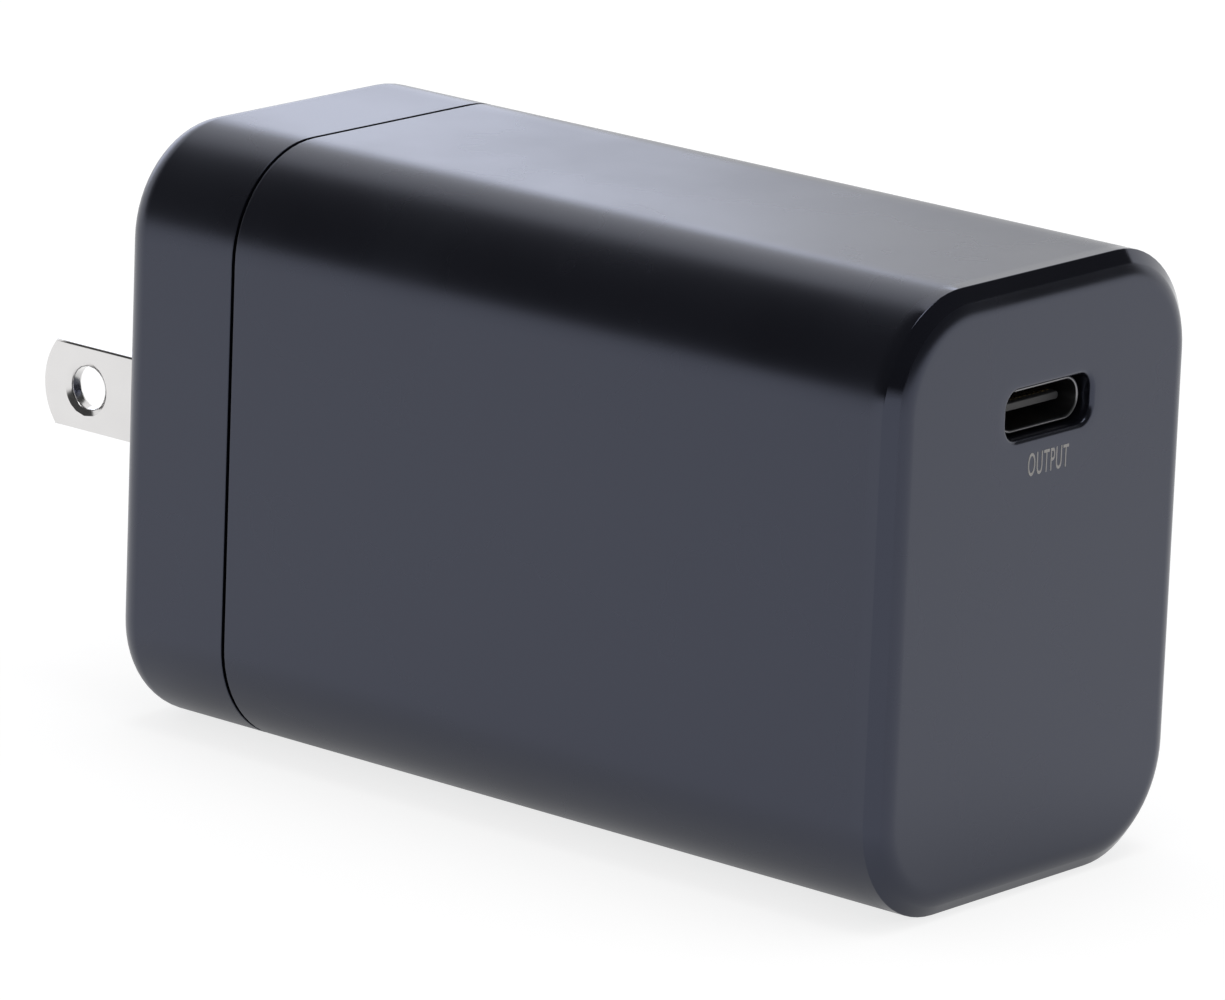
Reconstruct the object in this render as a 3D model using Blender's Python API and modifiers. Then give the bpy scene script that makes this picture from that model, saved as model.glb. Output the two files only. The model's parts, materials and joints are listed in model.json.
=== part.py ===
"""A plug-in wall charger: one cable socket in front, two fold-out flat prongs behind.

The origin is the middle of the wall face, halfway between the prongs. +Y points into the
wall, the socket faces -Y and +Z is up. Lengths are in metres.
"""

import math

import bmesh
import bpy
from mathutils import Matrix, Vector

MM = 0.001
OVERSHOOT = 1.0 * MM  # how far a cutter runs past the face it opens
JOIN = 0.5 * MM  # how far a joined block sinks into the wall that carries it
GAP = 0.3 * MM  # standing clearance between neighbouring pieces
FIT = 0.15 * MM  # closer clearance between pieces that are keyed or moulded together
RUNNING_FIT = 0.1 * MM  # clearance of a journal in its seat
MERGE = 0.01 * MM  # points closer than this are one point

# Body
BODY_WIDTH = 32.5 * MM
BODY_HEIGHT = 43.5 * MM
BODY_LENGTH = 70.2 * MM
EDGE_RADIUS = 7.9 * MM
EDGE_SEGMENTS = 10
WALL = 2.0 * MM
FRONT_WALL = 2.2 * MM
BEVEL_DEPTH = 1.15 * MM
BEVEL_INSET = 1.38 * MM
REAR_ROUND = 2.3 * MM
REAR_ROUND_SEGMENTS = 5
PRONG_DROP = 1.0 * MM  # the prongs lie this far below mid-height

# Joint between the housing and the rear cover
COVER_LENGTH = 10.6 * MM
SEAM = 0.3 * MM
LIP_LENGTH = 2.8 * MM
LIP_INSET = 1.1 * MM
LIP_END_GAP = 0.5 * MM

# Prongs
PRONG_SPACING = 12.7 * MM
PRONG_WIDTH = 6.35 * MM
PRONG_THICKNESS = 1.5 * MM
PRONG_LENGTH = 16.0 * MM
PRONG_TIP_RADIUS = 4.9 * MM
PRONG_HOLE_RADIUS = 1.6 * MM
PRONG_HOLE_FLARE = 0.45 * MM
PRONG_HOLE_FLARE_DEPTH = 0.28 * MM
PRONG_HOLE_REACH = 11.8 * MM
TAIL_WIDTH = 3.0 * MM
TAIL_LENGTH = 7.2 * MM  # from the pivot

# Pivot
FOLDED_DEPTH = 0.425 * MM  # a folded prong lies this far below the wall face
CARRIER_RADIUS = 2.1 * MM
CARRIER_KEY = 2.8 * MM
CARRIER_FLAT = 1.75 * MM  # from the axis to each detent flat
CARRIER_FLAT_WIDTH = 6.0 * MM
COLLAR_LENGTH = 1.55 * MM
JOURNAL_RADIUS = 1.5 * MM
JOURNAL_LENGTH = 3.1 * MM

# Slots and the finger scoop across their upper ends
SLOT_CLEARANCE = 0.35 * MM
POCKET_WALL = 1.0 * MM
SCOOP_RADIUS = 5.0 * MM
SCOOP_DEPTH = 2.1 * MM
SCOOP_HALF_WIDTH = 9.5 * MM
SCOOP_BACKING = 1.8 * MM
SCOOP_TO_TIP = 4.6 * MM

# Bearing block, and what closes it
BLOCK_SIDE_WALL = 0.8 * MM
BLOCK_HALF_HEIGHT = 6.2 * MM
BLOCK_REACH = 2.6 * MM  # behind the pivot
RETAINER_THICKNESS = 1.5 * MM
RETAINER_FOOT = 1.7 * MM
RETAINER_FINGER_HALF = 1.3 * MM
SPRING_WIDTH = 4.0 * MM
SPRING_THICKNESS = 0.3 * MM
SPRING_TOP = 2.0 * MM
SPRING_FOOT = -5.2 * MM
PEG_Z = -4.4 * MM
PEG_RADIUS = 0.4 * MM
SCREW_X = 11.0 * MM
SCREW_Z = -4.3 * MM
SCREW_RADIUS = 0.85 * MM
SCREW_LENGTH = 5.0 * MM
SCREW_HEAD_RADIUS = 1.8 * MM
SCREW_HEAD_HEIGHT = 1.1 * MM
SCREW_RECESS_DEPTH = 0.55 * MM
SCREW_RECESS_WIDTH = 0.5 * MM
CONTACT_THICKNESS = 0.4 * MM
CONTACT_WIDTH = 2.0 * MM
CONTACT_OVERLAP = 1.8 * MM  # length of tail that the strip lies beside
PIN_WIDTH = 1.0 * MM
PIN_LENGTH = 0.6 * MM  # below the main board

# Socket
PORT_X = 0.35 * MM
PORT_DROP = 9.45 * MM  # socket centre below the top of the body
PORT_MARGIN = 0.2 * MM  # round the shell
PORT_CORNER = 1.25 * MM
SHELL_RECESS = 1.0 * MM
SHELL_LENGTH = 8.3 * MM
SHELL_INNER_WIDTH = 8.34 * MM
SHELL_INNER_HEIGHT = 2.56 * MM
SHELL_WALL = 0.25 * MM
TONGUE_WIDTH = 6.69 * MM
TONGUE_HEIGHT = 0.7 * MM
TONGUE_RECESS = 0.9 * MM
TONGUE_BASE_LENGTH = 3.1 * MM

# Circuit boards
RIB_X = 5.75 * MM
RIB_WIDTH = 1.5 * MM
RIB_HEIGHT = 2.15 * MM
BOARD_THICKNESS = 1.6 * MM
BOARD_REAR = 5.0 * MM
BOARD_FRONT_GAP = 1.5 * MM
BOARD_SIDE_GAP = 0.6 * MM
PORT_BOARD_THICKNESS = 1.2 * MM
PORT_BOARD_ABOVE = 4.2 * MM  # above the socket's centre
CHIP_WIDTH = 5.0 * MM
CHIP_HEIGHT = 1.0 * MM

# Heat path
SPREADER_GAP = 0.4 * MM
SPREADER_THICKNESS = 0.5 * MM
SLEEVE_THICKNESS = 0.25 * MM
PAD_THICKNESS = 0.8 * MM
PAD_SIZE = 12.0 * MM
ARCH_REAR = 12.5 * MM
ARCH_FRONT_GAP = 1.5 * MM
ARCH_FOOT_GAP = 2.0 * MM

# What stands on the main board, each depth measured forward from the tails' free space
TAIL_SPACE = 1.2 * MM
CORE_PLACE = 25.0 * MM
CORE_DEPTH = 19.0 * MM
CORE_PLATE = 3.4 * MM
CORE_LEG = 2.5 * MM
CORE_POST_RADIUS = 4.0 * MM
BOBBIN_WALL = 0.6 * MM
BOBBIN_FLANGE = 0.8 * MM
BULK_RADIUS = 5.0 * MM
BULK_LENGTH = 34.0 * MM
BULK_PLACE = 10.0 * MM
CROSS_BULK_LENGTH = 22.0 * MM
OUTPUT_RADIUS = 4.0 * MM
OUTPUT_HEIGHT = 17.4 * MM
OUTPUT_X = 7.6 * MM
OUTPUT_GAP = 3.0 * MM
GROOVE_PLACE = 1.4 * MM
GROOVE_WIDTH = 0.8 * MM
GROOVE_DEPTH = 0.3 * MM
CHOKE_X = 6.9 * MM
CHOKE_PLACE = 8.5 * MM
CHOKE_RADIUS = 4.4 * MM
CHOKE_BORE = 2.4 * MM
CHOKE_DEPTH = 4.0 * MM
CHOKE_WIRE = 0.9 * MM
CHOKE_SPREAD = math.radians(120)

# name: material, low corner (x, place of its front, height), size; in millimetres
BLOCKS = {
    "filter_capacitor": ("film_yellow", (-12.2, 14.2, 0), (12.5, 6.4, 11.0)),
    "fuse": ("fuse_brown", (-11.5, 4.8, 0), (8.4, 4.0, 7.7)),
    "bridge_rectifier": ("chip_black", (6.2, 3.6, 0), (5.8, 2.3, 10.4)),
    "power_switch": ("chip_black", (-3.0, 44.0, 0), (6.0, 6.0, 1.0)),
}
# name: material, radius, thickness, (x, place of its front, height of its middle)
DISCS = {
    "thermistor": ("chip_black", 3.8, 3.2, (1.6, 4.4, 4.2)),
    "suppression_capacitor": ("disc_blue", 3.6, 2.4, (0.0, 37.2, 5.4)),
}

# name: colour, roughness, metallic
FINISHES = {
    "satin_black": ((0.022, 0.023, 0.027), 0.38, 0.0),
    "inner_black": ((0.02, 0.02, 0.022), 0.55, 0.0),
    "nickel": ((0.78, 0.76, 0.72), 0.22, 1.0),
    "spring_steel": ((0.56, 0.57, 0.58), 0.3, 1.0),
    "brass": ((0.8, 0.6, 0.3), 0.3, 1.0),
    "board_green": ((0.02, 0.16, 0.07), 0.45, 0.0),
    "ferrite": ((0.05, 0.05, 0.055), 0.6, 0.0),
    "copper": ((0.72, 0.32, 0.16), 0.35, 1.0),
    "bobbin_white": ((0.75, 0.73, 0.66), 0.5, 0.0),
    "can_sleeve": ((0.03, 0.03, 0.05), 0.35, 0.0),
    "can_aluminium": ((0.8, 0.8, 0.82), 0.3, 1.0),
    "film_yellow": ((0.75, 0.5, 0.08), 0.35, 0.0),
    "disc_blue": ((0.05, 0.2, 0.5), 0.35, 0.0),
    "fuse_brown": ((0.2, 0.08, 0.04), 0.4, 0.0),
    "chip_black": ((0.03, 0.03, 0.03), 0.5, 0.0),
    "aluminium": ((0.75, 0.76, 0.78), 0.35, 1.0),
    "film_amber": ((0.7, 0.35, 0.05), 0.2, 0.0),
    "pad_grey": ((0.45, 0.47, 0.5), 0.8, 0.0),
}

SIDES = {"left": -1, "right": 1}
ALONG = {
    "X": Matrix.Rotation(math.pi / 2, 4, "Y"),
    "Y": Matrix.Rotation(-math.pi / 2, 4, "X"),
    "Z": Matrix.Identity(4),
}

# Body, measured from the wall face
CENTRE_Z = PRONG_DROP
TOP_Z = CENTRE_Z + BODY_HEIGHT / 2
FOOT_Z = CENTRE_Z - BODY_HEIGHT / 2
FRONT_Y = -BODY_LENGTH
HOUSING_REAR_Y = -COVER_LENGTH - SEAM
LIP_END_Y = -COVER_LENGTH - LIP_LENGTH
REBATE_Y = LIP_END_Y - LIP_END_GAP

# Prongs, their slots and the bar that they turn with
PIVOT_Y = -(PRONG_WIDTH / 2 + FOLDED_DEPTH)
PRONG_X = PRONG_SPACING / 2
PRONG_REACH = PRONG_LENGTH - PIVOT_Y
TAIL_SWEEP = math.hypot(TAIL_LENGTH, TAIL_WIDTH / 2)
SLOT_HALF = PRONG_THICKNESS / 2 + SLOT_CLEARANCE
SLOT_TOP_Z = PRONG_REACH + SLOT_CLEARANCE
SLOT_FOOT_Z = -PRONG_WIDTH / 2 - SLOT_CLEARANCE
SLOT_FLOOR_Y = PIVOT_Y - PRONG_WIDTH / 2 - SLOT_CLEARANCE
POCKET_FOOT_Z = PRONG_WIDTH / 2
SCOOP_Z = SLOT_TOP_Z - SCOOP_TO_TIP
NECK_START = PRONG_X - PRONG_THICKNESS / 2 - FIT
NECK_END = PRONG_X + PRONG_THICKNESS / 2 + FIT
COLLAR_END = NECK_END + COLLAR_LENGTH
JOURNAL_END = COLLAR_END + JOURNAL_LENGTH

# Bearing block, retainer and contacts
BLOCK_HALF_WIDTH = JOURNAL_END + GAP + BLOCK_SIDE_WALL
BLOCK_BACK_Y = PIVOT_Y - BLOCK_REACH
RETAINER_Y = BLOCK_BACK_Y - GAP
RETAINER_BACK_Y = RETAINER_Y - RETAINER_THICKNESS
RETAINER_TOP_Z = POCKET_FOOT_Z - GAP
WINDOW_FOOT_Z = -math.sqrt(TAIL_SWEEP**2 - (PIVOT_Y - RETAINER_Y) ** 2) - GAP
SCREW_HEAD_Y = RETAINER_BACK_Y - GAP
CONTACT_X = PRONG_X + SLOT_HALF
CONTACT_REAR_Y = PIVOT_Y - TAIL_LENGTH + CONTACT_OVERLAP

# Socket, boards and the space above them
PORT_Z = TOP_Z - PORT_DROP
SHELL_WIDTH = SHELL_INNER_WIDTH + 2 * SHELL_WALL
SHELL_HEIGHT = SHELL_INNER_HEIGHT + 2 * SHELL_WALL
SHELL_FRONT_Y = FRONT_Y + SHELL_RECESS
SHELL_BACK_Y = SHELL_FRONT_Y + SHELL_LENGTH
PORT_BOARD_Y = SHELL_BACK_Y + GAP
PORT_BOARD_BACK_Y = PORT_BOARD_Y + PORT_BOARD_THICKNESS
BOARD_FOOT_Z = FOOT_Z + WALL + RIB_HEIGHT + GAP
BOARD_TOP_Z = BOARD_FOOT_Z + BOARD_THICKNESS
PART_Z = BOARD_TOP_Z + GAP  # the foot of what stands on the main board
PART_Y = PIVOT_Y - TAIL_LENGTH - TAIL_SPACE  # the rear of what stands on it
SPREADER_INSET = WALL + SPREADER_GAP
SLEEVE_INSET = SPREADER_INSET + SPREADER_THICKNESS + GAP
CLEAR_INSET = SLEEVE_INSET + SLEEVE_THICKNESS + GAP
BULK_Z = TOP_Z - CLEAR_INSET - BULK_RADIUS
CROSS_BULK_Z = BULK_Z - 2 * BULK_RADIUS - GAP
CORE_HALF_WIDTH = BODY_WIDTH / 2 - CLEAR_INSET - PAD_THICKNESS - GAP
CORE_TOP_Z = BULK_Z - BULK_RADIUS - GAP
CORE_Y = PART_Y - CORE_PLACE
CORE_FRONT_Y, CORE_REAR_Y = CORE_Y - CORE_DEPTH / 2, CORE_Y + CORE_DEPTH / 2
OUTPUT_Y = CORE_FRONT_Y - OUTPUT_GAP - OUTPUT_RADIUS
CHOKE_Y = PART_Y - CHOKE_PLACE
CHOKE_Z = PART_Z + CHOKE_RADIUS + CHOKE_WIRE + GAP


def clear_scene():
    """Empties the scene, so that a second run starts from nothing."""
    for obj in list(bpy.data.objects):
        bpy.data.objects.remove(obj)


def new_collection(name):
    made = bpy.data.collections.new(name)
    bpy.context.scene.collection.children.link(made)
    return made


def finish(name):
    """The named material, made the first time that it is asked for."""
    made = bpy.data.materials.get(name)
    if made is None:
        colour, roughness, metallic = FINISHES[name]
        made = bpy.data.materials.new(name)
        made.use_nodes = True
        shader = made.node_tree.nodes["Principled BSDF"]
        shader.inputs["Base Color"].default_value = (*colour, 1.0)
        shader.inputs["Roughness"].default_value = roughness
        shader.inputs["Metallic"].default_value = metallic
    return made


class Workshop:
    """Holds the two collections, and makes pieces and the cutters that shape them."""

    def __init__(self):
        self.pieces = new_collection("wall_charger")
        self.cutters = new_collection("cutters")

    def add(self, name, bm, material, pivot=None):
        """Makes a piece or, with no material, a hidden cutter. A pivot carries what turns."""
        mesh = bpy.data.meshes.new(name)
        bm.to_mesh(mesh)
        bm.free()
        obj = bpy.data.objects.new(name, mesh)
        obj.parent = pivot
        if material:
            mesh.materials.append(finish(material))
            mesh.shade_smooth()
            mesh.set_sharp_from_angle(angle=math.radians(35))
            self.pieces.objects.link(obj)
        else:
            obj.hide_render = True
            obj.display_type = "WIRE"
            self.cutters.objects.link(obj)
        return obj

    def place(self, name, bm, material=None, pivot=None):
        """Adds a shape with its origin at its own middle or, if it turns, on its pivot."""
        middle = Vector() if pivot else middle_of(bm)
        bmesh.ops.translate(bm, vec=-middle, verts=bm.verts)
        obj = self.add(name, bm, material, pivot)
        obj.location = middle
        return obj

    def turn(self, name, profile, centre, axis, material=None, pivot=None, steps=28):
        """A turned piece. Its profile of (radius, distance along axis) ends on the axis or closes."""
        bm = bmesh.new()
        points = [bm.verts.new((radius, 0, along)) for radius, along in profile]
        for first, second in zip(points, points[1:]):
            bm.edges.new((first, second))
        if profile[0][0] > 0:
            bm.edges.new((points[-1], points[0]))
        obj = self.add(name, bm, material, pivot)
        obj.matrix_basis = Matrix.Translation(centre) @ ALONG[axis]
        screw = obj.modifiers.new("turn", "SCREW")
        screw.angle = 2 * math.pi
        screw.steps = steps
        screw.render_steps = steps
        screw.use_merge_vertices = True
        screw.merge_threshold = MERGE
        screw.use_normal_flip = True
        return obj

    def shape(self, target, operation, tool):
        """Cuts or joins a tool into the target with a Boolean."""
        modifier = target.modifiers.new(tool.name, "BOOLEAN")
        modifier.operation = operation
        modifier.object = tool

    def cut(self, target, *shapes):
        for bm in shapes:
            name = f"{target.name}_cut_{len(target.modifiers)}"
            self.shape(target, "DIFFERENCE", self.place(name, bm, pivot=target.parent))

    def join(self, target, *shapes):
        for bm in shapes:
            name = f"{target.name}_join_{len(target.modifiers)}"
            self.shape(target, "UNION", self.place(name, bm, pivot=target.parent))


def middle_of(bm):
    """The middle of a shape's bounding box."""
    corners = [
        Vector(pick(v.co[axis] for v in bm.verts) for axis in range(3)) for pick in (min, max)
    ]
    return (corners[0] + corners[1]) / 2


def box(low, high):
    """A box between two opposite corners."""
    low, high = Vector(low), Vector(high)
    bm = bmesh.new()
    bmesh.ops.create_cube(bm, size=1.0)
    bmesh.ops.scale(bm, vec=high - low, verts=bm.verts)
    bmesh.ops.translate(bm, vec=(low + high) / 2, verts=bm.verts)
    return bm


def side_box(side, near, far, low, high):
    """A box that runs from near to far out on one side of the middle; low and high are (y, z)."""
    first, second = sorted((side * near, side * far))
    return box((first, *low), (second, *high))


def cylinder(radius, start, end, axis, centre, segments=24, end_radius=None):
    """A cylinder or cone from start to end along an axis; centre gives the other two places."""
    bm = bmesh.new()
    bmesh.ops.create_cone(
        bm,
        cap_ends=True,
        segments=segments,
        radius1=radius,
        radius2=radius if end_radius is None else end_radius,
        depth=end - start,
    )
    place = list(centre)
    place.insert("XYZ".index(axis), (start + end) / 2)
    bmesh.ops.transform(bm, matrix=Matrix.Translation(place) @ ALONG[axis], verts=bm.verts)
    return bm


def rounded_prism(width, height, radius, centre, start, end, segments=EDGE_SEGMENTS):
    """A prism along Y whose section is a rounded rectangle; centre is (x, z)."""
    x, z = centre
    bm = box((x - width / 2, start, z - height / 2), (x + width / 2, end, z + height / 2))
    long_edges = [e for e in bm.edges if abs(e.verts[0].co.y - e.verts[1].co.y) > MERGE]
    bmesh.ops.bevel(
        bm,
        geom=long_edges,
        offset=radius,
        offset_type="OFFSET",
        segments=segments,
        profile=0.5,
        affect="EDGES",
        clamp_overlap=True,
    )
    return bm


def body_prism(inset, start, end):
    """The body's own section, taken in by inset all round, along Y."""
    return rounded_prism(
        BODY_WIDTH - 2 * inset,
        BODY_HEIGHT - 2 * inset,
        EDGE_RADIUS - inset,
        (0, CENTRE_Z),
        start,
        end,
    )


def half_width_at(z, inset):
    """Half the width, at height z, of the body's section taken in by inset."""
    straight = BODY_HEIGHT / 2 - EDGE_RADIUS
    into_corner = max(0, abs(z - CENTRE_Z) - straight)
    radius = EDGE_RADIUS - inset
    return BODY_WIDTH / 2 - EDGE_RADIUS + math.sqrt(radius**2 - into_corner**2)


def slot_prism(width, height, start, end):
    """A prism with half-round ends, on the socket's centre line."""
    return rounded_prism(
        width, height, height / 2 - MERGE, (PORT_X, PORT_Z), start, end, segments=6
    )


def arc(centre, radius, start, end, steps):
    """Points on an arc, angles in radians."""
    angles = [start + (end - start) * i / steps for i in range(steps + 1)]
    return [
        (centre[0] + radius * math.cos(angle), centre[1] + radius * math.sin(angle))
        for angle in angles
    ]


def plate(outlines, thickness, matrix):
    """A flat plate from closed outlines: the first is its edge, and any others are holes."""
    curve = bpy.data.curves.new("outline", "CURVE")
    curve.dimensions = "2D"
    curve.fill_mode = "BOTH"
    curve.extrude = thickness / 2
    for outline in outlines:
        spline = curve.splines.new("POLY")
        spline.points.add(len(outline) - 1)
        for point, (u, v) in zip(spline.points, outline):
            point.co = (u, v, 0, 1)
        spline.use_cyclic_u = True
    holder = bpy.data.objects.new("outline", curve)
    bpy.context.scene.collection.objects.link(holder)
    graph = bpy.context.evaluated_depsgraph_get()
    mesh = bpy.data.meshes.new_from_object(holder.evaluated_get(graph))
    bpy.data.objects.remove(holder)
    bpy.data.curves.remove(curve)
    bm = bmesh.new()
    bm.from_mesh(mesh)
    bpy.data.meshes.remove(mesh)
    bmesh.ops.remove_doubles(bm, verts=bm.verts, dist=MERGE)
    bmesh.ops.transform(bm, matrix=matrix, verts=bm.verts)
    bmesh.ops.recalc_face_normals(bm, faces=bm.faces)
    return bm


def upright_plate(outlines, thickness, x):
    """A plate drawn in (y, z) that stands across the X axis at x."""
    turn = Matrix(((0, 0, 1, x), (1, 0, 0, 0), (0, 1, 0, 0), (0, 0, 0, 1)))
    return plate(outlines, thickness, turn)


def main_housing(shop):
    """The long sleeve with its closed, bevelled front, the socket opening and the board ribs."""
    bevel_y = FRONT_Y + BEVEL_DEPTH
    bm = body_prism(0, bevel_y, HOUSING_REAR_Y)
    front = [f for f in bm.faces if all(abs(v.co.y - bevel_y) < MERGE for v in f.verts)]
    bmesh.ops.inset_region(
        bm, faces=front, thickness=BEVEL_INSET, depth=BEVEL_DEPTH, use_even_offset=True
    )
    housing = shop.place("main_housing", bm, "satin_black")
    wall_back = FRONT_Y + FRONT_WALL
    past_rear = HOUSING_REAR_Y + OVERSHOOT
    shop.cut(
        housing,
        body_prism(WALL, wall_back, past_rear),
        body_prism(LIP_INSET - GAP, REBATE_Y, past_rear),
        rounded_prism(
            SHELL_WIDTH + 2 * PORT_MARGIN,
            SHELL_HEIGHT + 2 * PORT_MARGIN,
            PORT_CORNER,
            (PORT_X, PORT_Z),
            FRONT_Y - OVERSHOOT,
            wall_back + OVERSHOOT,
            segments=5,
        ),
    )
    for side in SIDES.values():
        shop.join(
            housing,
            side_box(
                side,
                RIB_X - RIB_WIDTH / 2,
                RIB_X + RIB_WIDTH / 2,
                (wall_back - JOIN, FOOT_Z + WALL - JOIN),
                (REBATE_Y - GAP, BOARD_FOOT_Z - GAP),
            ),
        )


def rear_cover(shop):
    """The cap that meets the wall, with the prongs' slots and their bearing block inside."""
    bm = body_prism(0, -COVER_LENGTH, 0)
    wall_edges = [e for e in bm.edges if all(abs(v.co.y) < MERGE for v in e.verts)]
    bmesh.ops.bevel(
        bm,
        geom=wall_edges,
        offset=REAR_ROUND,
        offset_type="OFFSET",
        segments=REAR_ROUND_SEGMENTS,
        profile=0.5,
        affect="EDGES",
    )
    cover = shop.place("rear_cover", bm, "satin_black")
    shop.join(cover, body_prism(LIP_INSET, LIP_END_Y, -COVER_LENGTH + OVERSHOOT))
    shop.cut(cover, body_prism(WALL, LIP_END_Y - OVERSHOOT, -WALL))
    add_bearing_block(shop, cover)
    cut_prong_slots(shop, cover)
    cut_bearing_seats(shop, cover)


def add_bearing_block(shop, cover):
    """The block behind the wall face that carries the pivot, and the walls of the pockets."""
    wall_y = -WALL + JOIN
    shop.join(
        cover,
        box(
            (-BLOCK_HALF_WIDTH, BLOCK_BACK_Y, -BLOCK_HALF_HEIGHT),
            (BLOCK_HALF_WIDTH, wall_y, BLOCK_HALF_HEIGHT),
        ),
    )
    half = SCOOP_RADIUS + POCKET_WALL
    backing = SCOOP_HALF_WIDTH + POCKET_WALL
    shop.join(
        cover,
        box(
            (-backing, -SCOOP_DEPTH - SCOOP_BACKING, SCOOP_Z - half),
            (backing, wall_y, min(SCOOP_Z + half, TOP_Z - WALL + JOIN)),
        ),
    )
    for side in SIDES.values():
        shop.join(
            cover,
            side_box(
                side,
                PRONG_X - SLOT_HALF - POCKET_WALL,
                PRONG_X + SLOT_HALF + POCKET_WALL,
                (SLOT_FLOOR_Y - POCKET_WALL, POCKET_FOOT_Z),
                (wall_y, TOP_Z - WALL + JOIN / 2),
            ),
        )


def cut_prong_slots(shop, cover):
    """The slot that each prong folds into, the way its tail swings, and the finger scoop."""
    swing = (BLOCK_BACK_Y - OVERSHOOT, -BLOCK_HALF_HEIGHT - OVERSHOOT)
    for side in SIDES.values():
        near, far = PRONG_X - SLOT_HALF, PRONG_X + SLOT_HALF
        shop.cut(
            cover,
            side_box(side, near, far, (SLOT_FLOOR_Y, SLOT_FOOT_Z), (OVERSHOOT, SLOT_TOP_Z)),
            side_box(side, near, far, swing, (PIVOT_Y + TAIL_WIDTH / 2 + SLOT_CLEARANCE, 0)),
        )
    centre = (SCOOP_RADIUS - SCOOP_DEPTH, SCOOP_Z)
    shop.cut(
        cover,
        cylinder(SCOOP_RADIUS, -SCOOP_HALF_WIDTH, SCOOP_HALF_WIDTH, "X", centre, segments=40),
    )


def cut_bearing_seats(shop, cover):
    """The carrier's chamber, its journals' seats, the spring's recess and the screw holes."""
    behind = BLOCK_BACK_Y - OVERSHOOT
    chamber = CARRIER_RADIUS + GAP
    seat = JOURNAL_RADIUS + RUNNING_FIT
    for radius, reach in ((chamber, COLLAR_END + FIT), (seat, JOURNAL_END + GAP)):
        shop.cut(
            cover,
            cylinder(radius, -reach, reach, "X", (PIVOT_Y, 0), segments=32),
            box((-reach, behind, -radius), (reach, PIVOT_Y, radius)),
        )
    recess = SPRING_WIDTH / 2 + 2 * GAP
    shop.cut(
        cover,
        box(
            (-recess, behind, SPRING_FOOT - GAP),
            (recess, PIVOT_Y - CARRIER_FLAT - FIT, chamber),
        ),
    )
    for side in SIDES.values():
        place = (side * SCREW_X, SCREW_Z)
        shop.cut(cover, cylinder(SCREW_RADIUS + GAP, behind, -WALL - JOIN, "Y", place, segments=16))


def prong_outline():
    """A prong's edge as (y, z) about the pivot: bowed tip, straight sides, round root, tail."""
    half = PRONG_WIDTH / 2
    bow = math.asin(half / PRONG_TIP_RADIUS)
    shoulder = math.asin(TAIL_WIDTH / PRONG_WIDTH)
    tip = arc((PRONG_REACH - PRONG_TIP_RADIUS, 0), PRONG_TIP_RADIUS, -bow, bow, 10)
    upper_root = arc((0, 0), half, math.pi / 2, math.pi - shoulder, 6)
    tail = [(-TAIL_LENGTH, TAIL_WIDTH / 2), (-TAIL_LENGTH, -TAIL_WIDTH / 2)]
    lower_root = arc((0, 0), half, math.pi + shoulder, 3 * math.pi / 2, 6)
    return tip + upper_root + tail + lower_root


def prong(shop, name, side, pivot):
    """One flat prong with its keyed root and its flared hole, standing out of the wall face."""
    key = CARRIER_KEY / 2 + FIT
    square = [(-key, -key), (key, -key), (key, key), (-key, key)]
    x = side * PRONG_X
    bm = upright_plate([prong_outline(), square], PRONG_THICKNESS, x)
    blade = shop.place(name, bm, "nickel", pivot)
    wide = PRONG_HOLE_RADIUS + 2 * PRONG_HOLE_FLARE
    neck = PRONG_THICKNESS / 2 - PRONG_HOLE_FLARE_DEPTH
    end = PRONG_THICKNESS / 2 + PRONG_HOLE_FLARE_DEPTH
    profile = [
        (0, -end),
        (wide, -end),
        (PRONG_HOLE_RADIUS, -neck),
        (PRONG_HOLE_RADIUS, neck),
        (wide, end),
        (0, end),
    ]
    centre = (x, PRONG_HOLE_REACH - PIVOT_Y, 0)
    hole = shop.turn(f"{name}_hole", profile, centre, "X", pivot=pivot, steps=24)
    shop.shape(blade, "DIFFERENCE", hole)


def prong_carrier(shop, pivot):
    """The moulded bar that both prongs are keyed on, with its journals and its detent flats."""
    key = CARRIER_KEY / 2
    reach = COLLAR_END - JOIN
    bm = box((-reach, -key, -key), (reach, key, key))
    carrier = shop.place("prong_carrier", bm, "inner_black", pivot)
    shop.join(carrier, cylinder(CARRIER_RADIUS, -NECK_START, NECK_START, "X", (0, 0)))
    for side in SIDES.values():
        collar = sorted((side * NECK_END, side * COLLAR_END))
        journal = sorted((side * (COLLAR_END - 1.5 * JOIN), side * JOURNAL_END))
        shop.join(
            carrier,
            cylinder(CARRIER_RADIUS, *collar, "X", (0, 0)),
            cylinder(JOURNAL_RADIUS, *journal, "X", (0, 0)),
        )
    half_width = CARRIER_FLAT_WIDTH / 2
    beyond = CARRIER_RADIUS + OVERSHOOT
    for side in SIDES.values():
        low, high = sorted((side * CARRIER_FLAT, side * beyond))
        shop.cut(
            carrier,
            box((-half_width, low, -beyond), (half_width, high, beyond)),
            box((-half_width, -beyond, low), (half_width, beyond, high)),
        )


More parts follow.
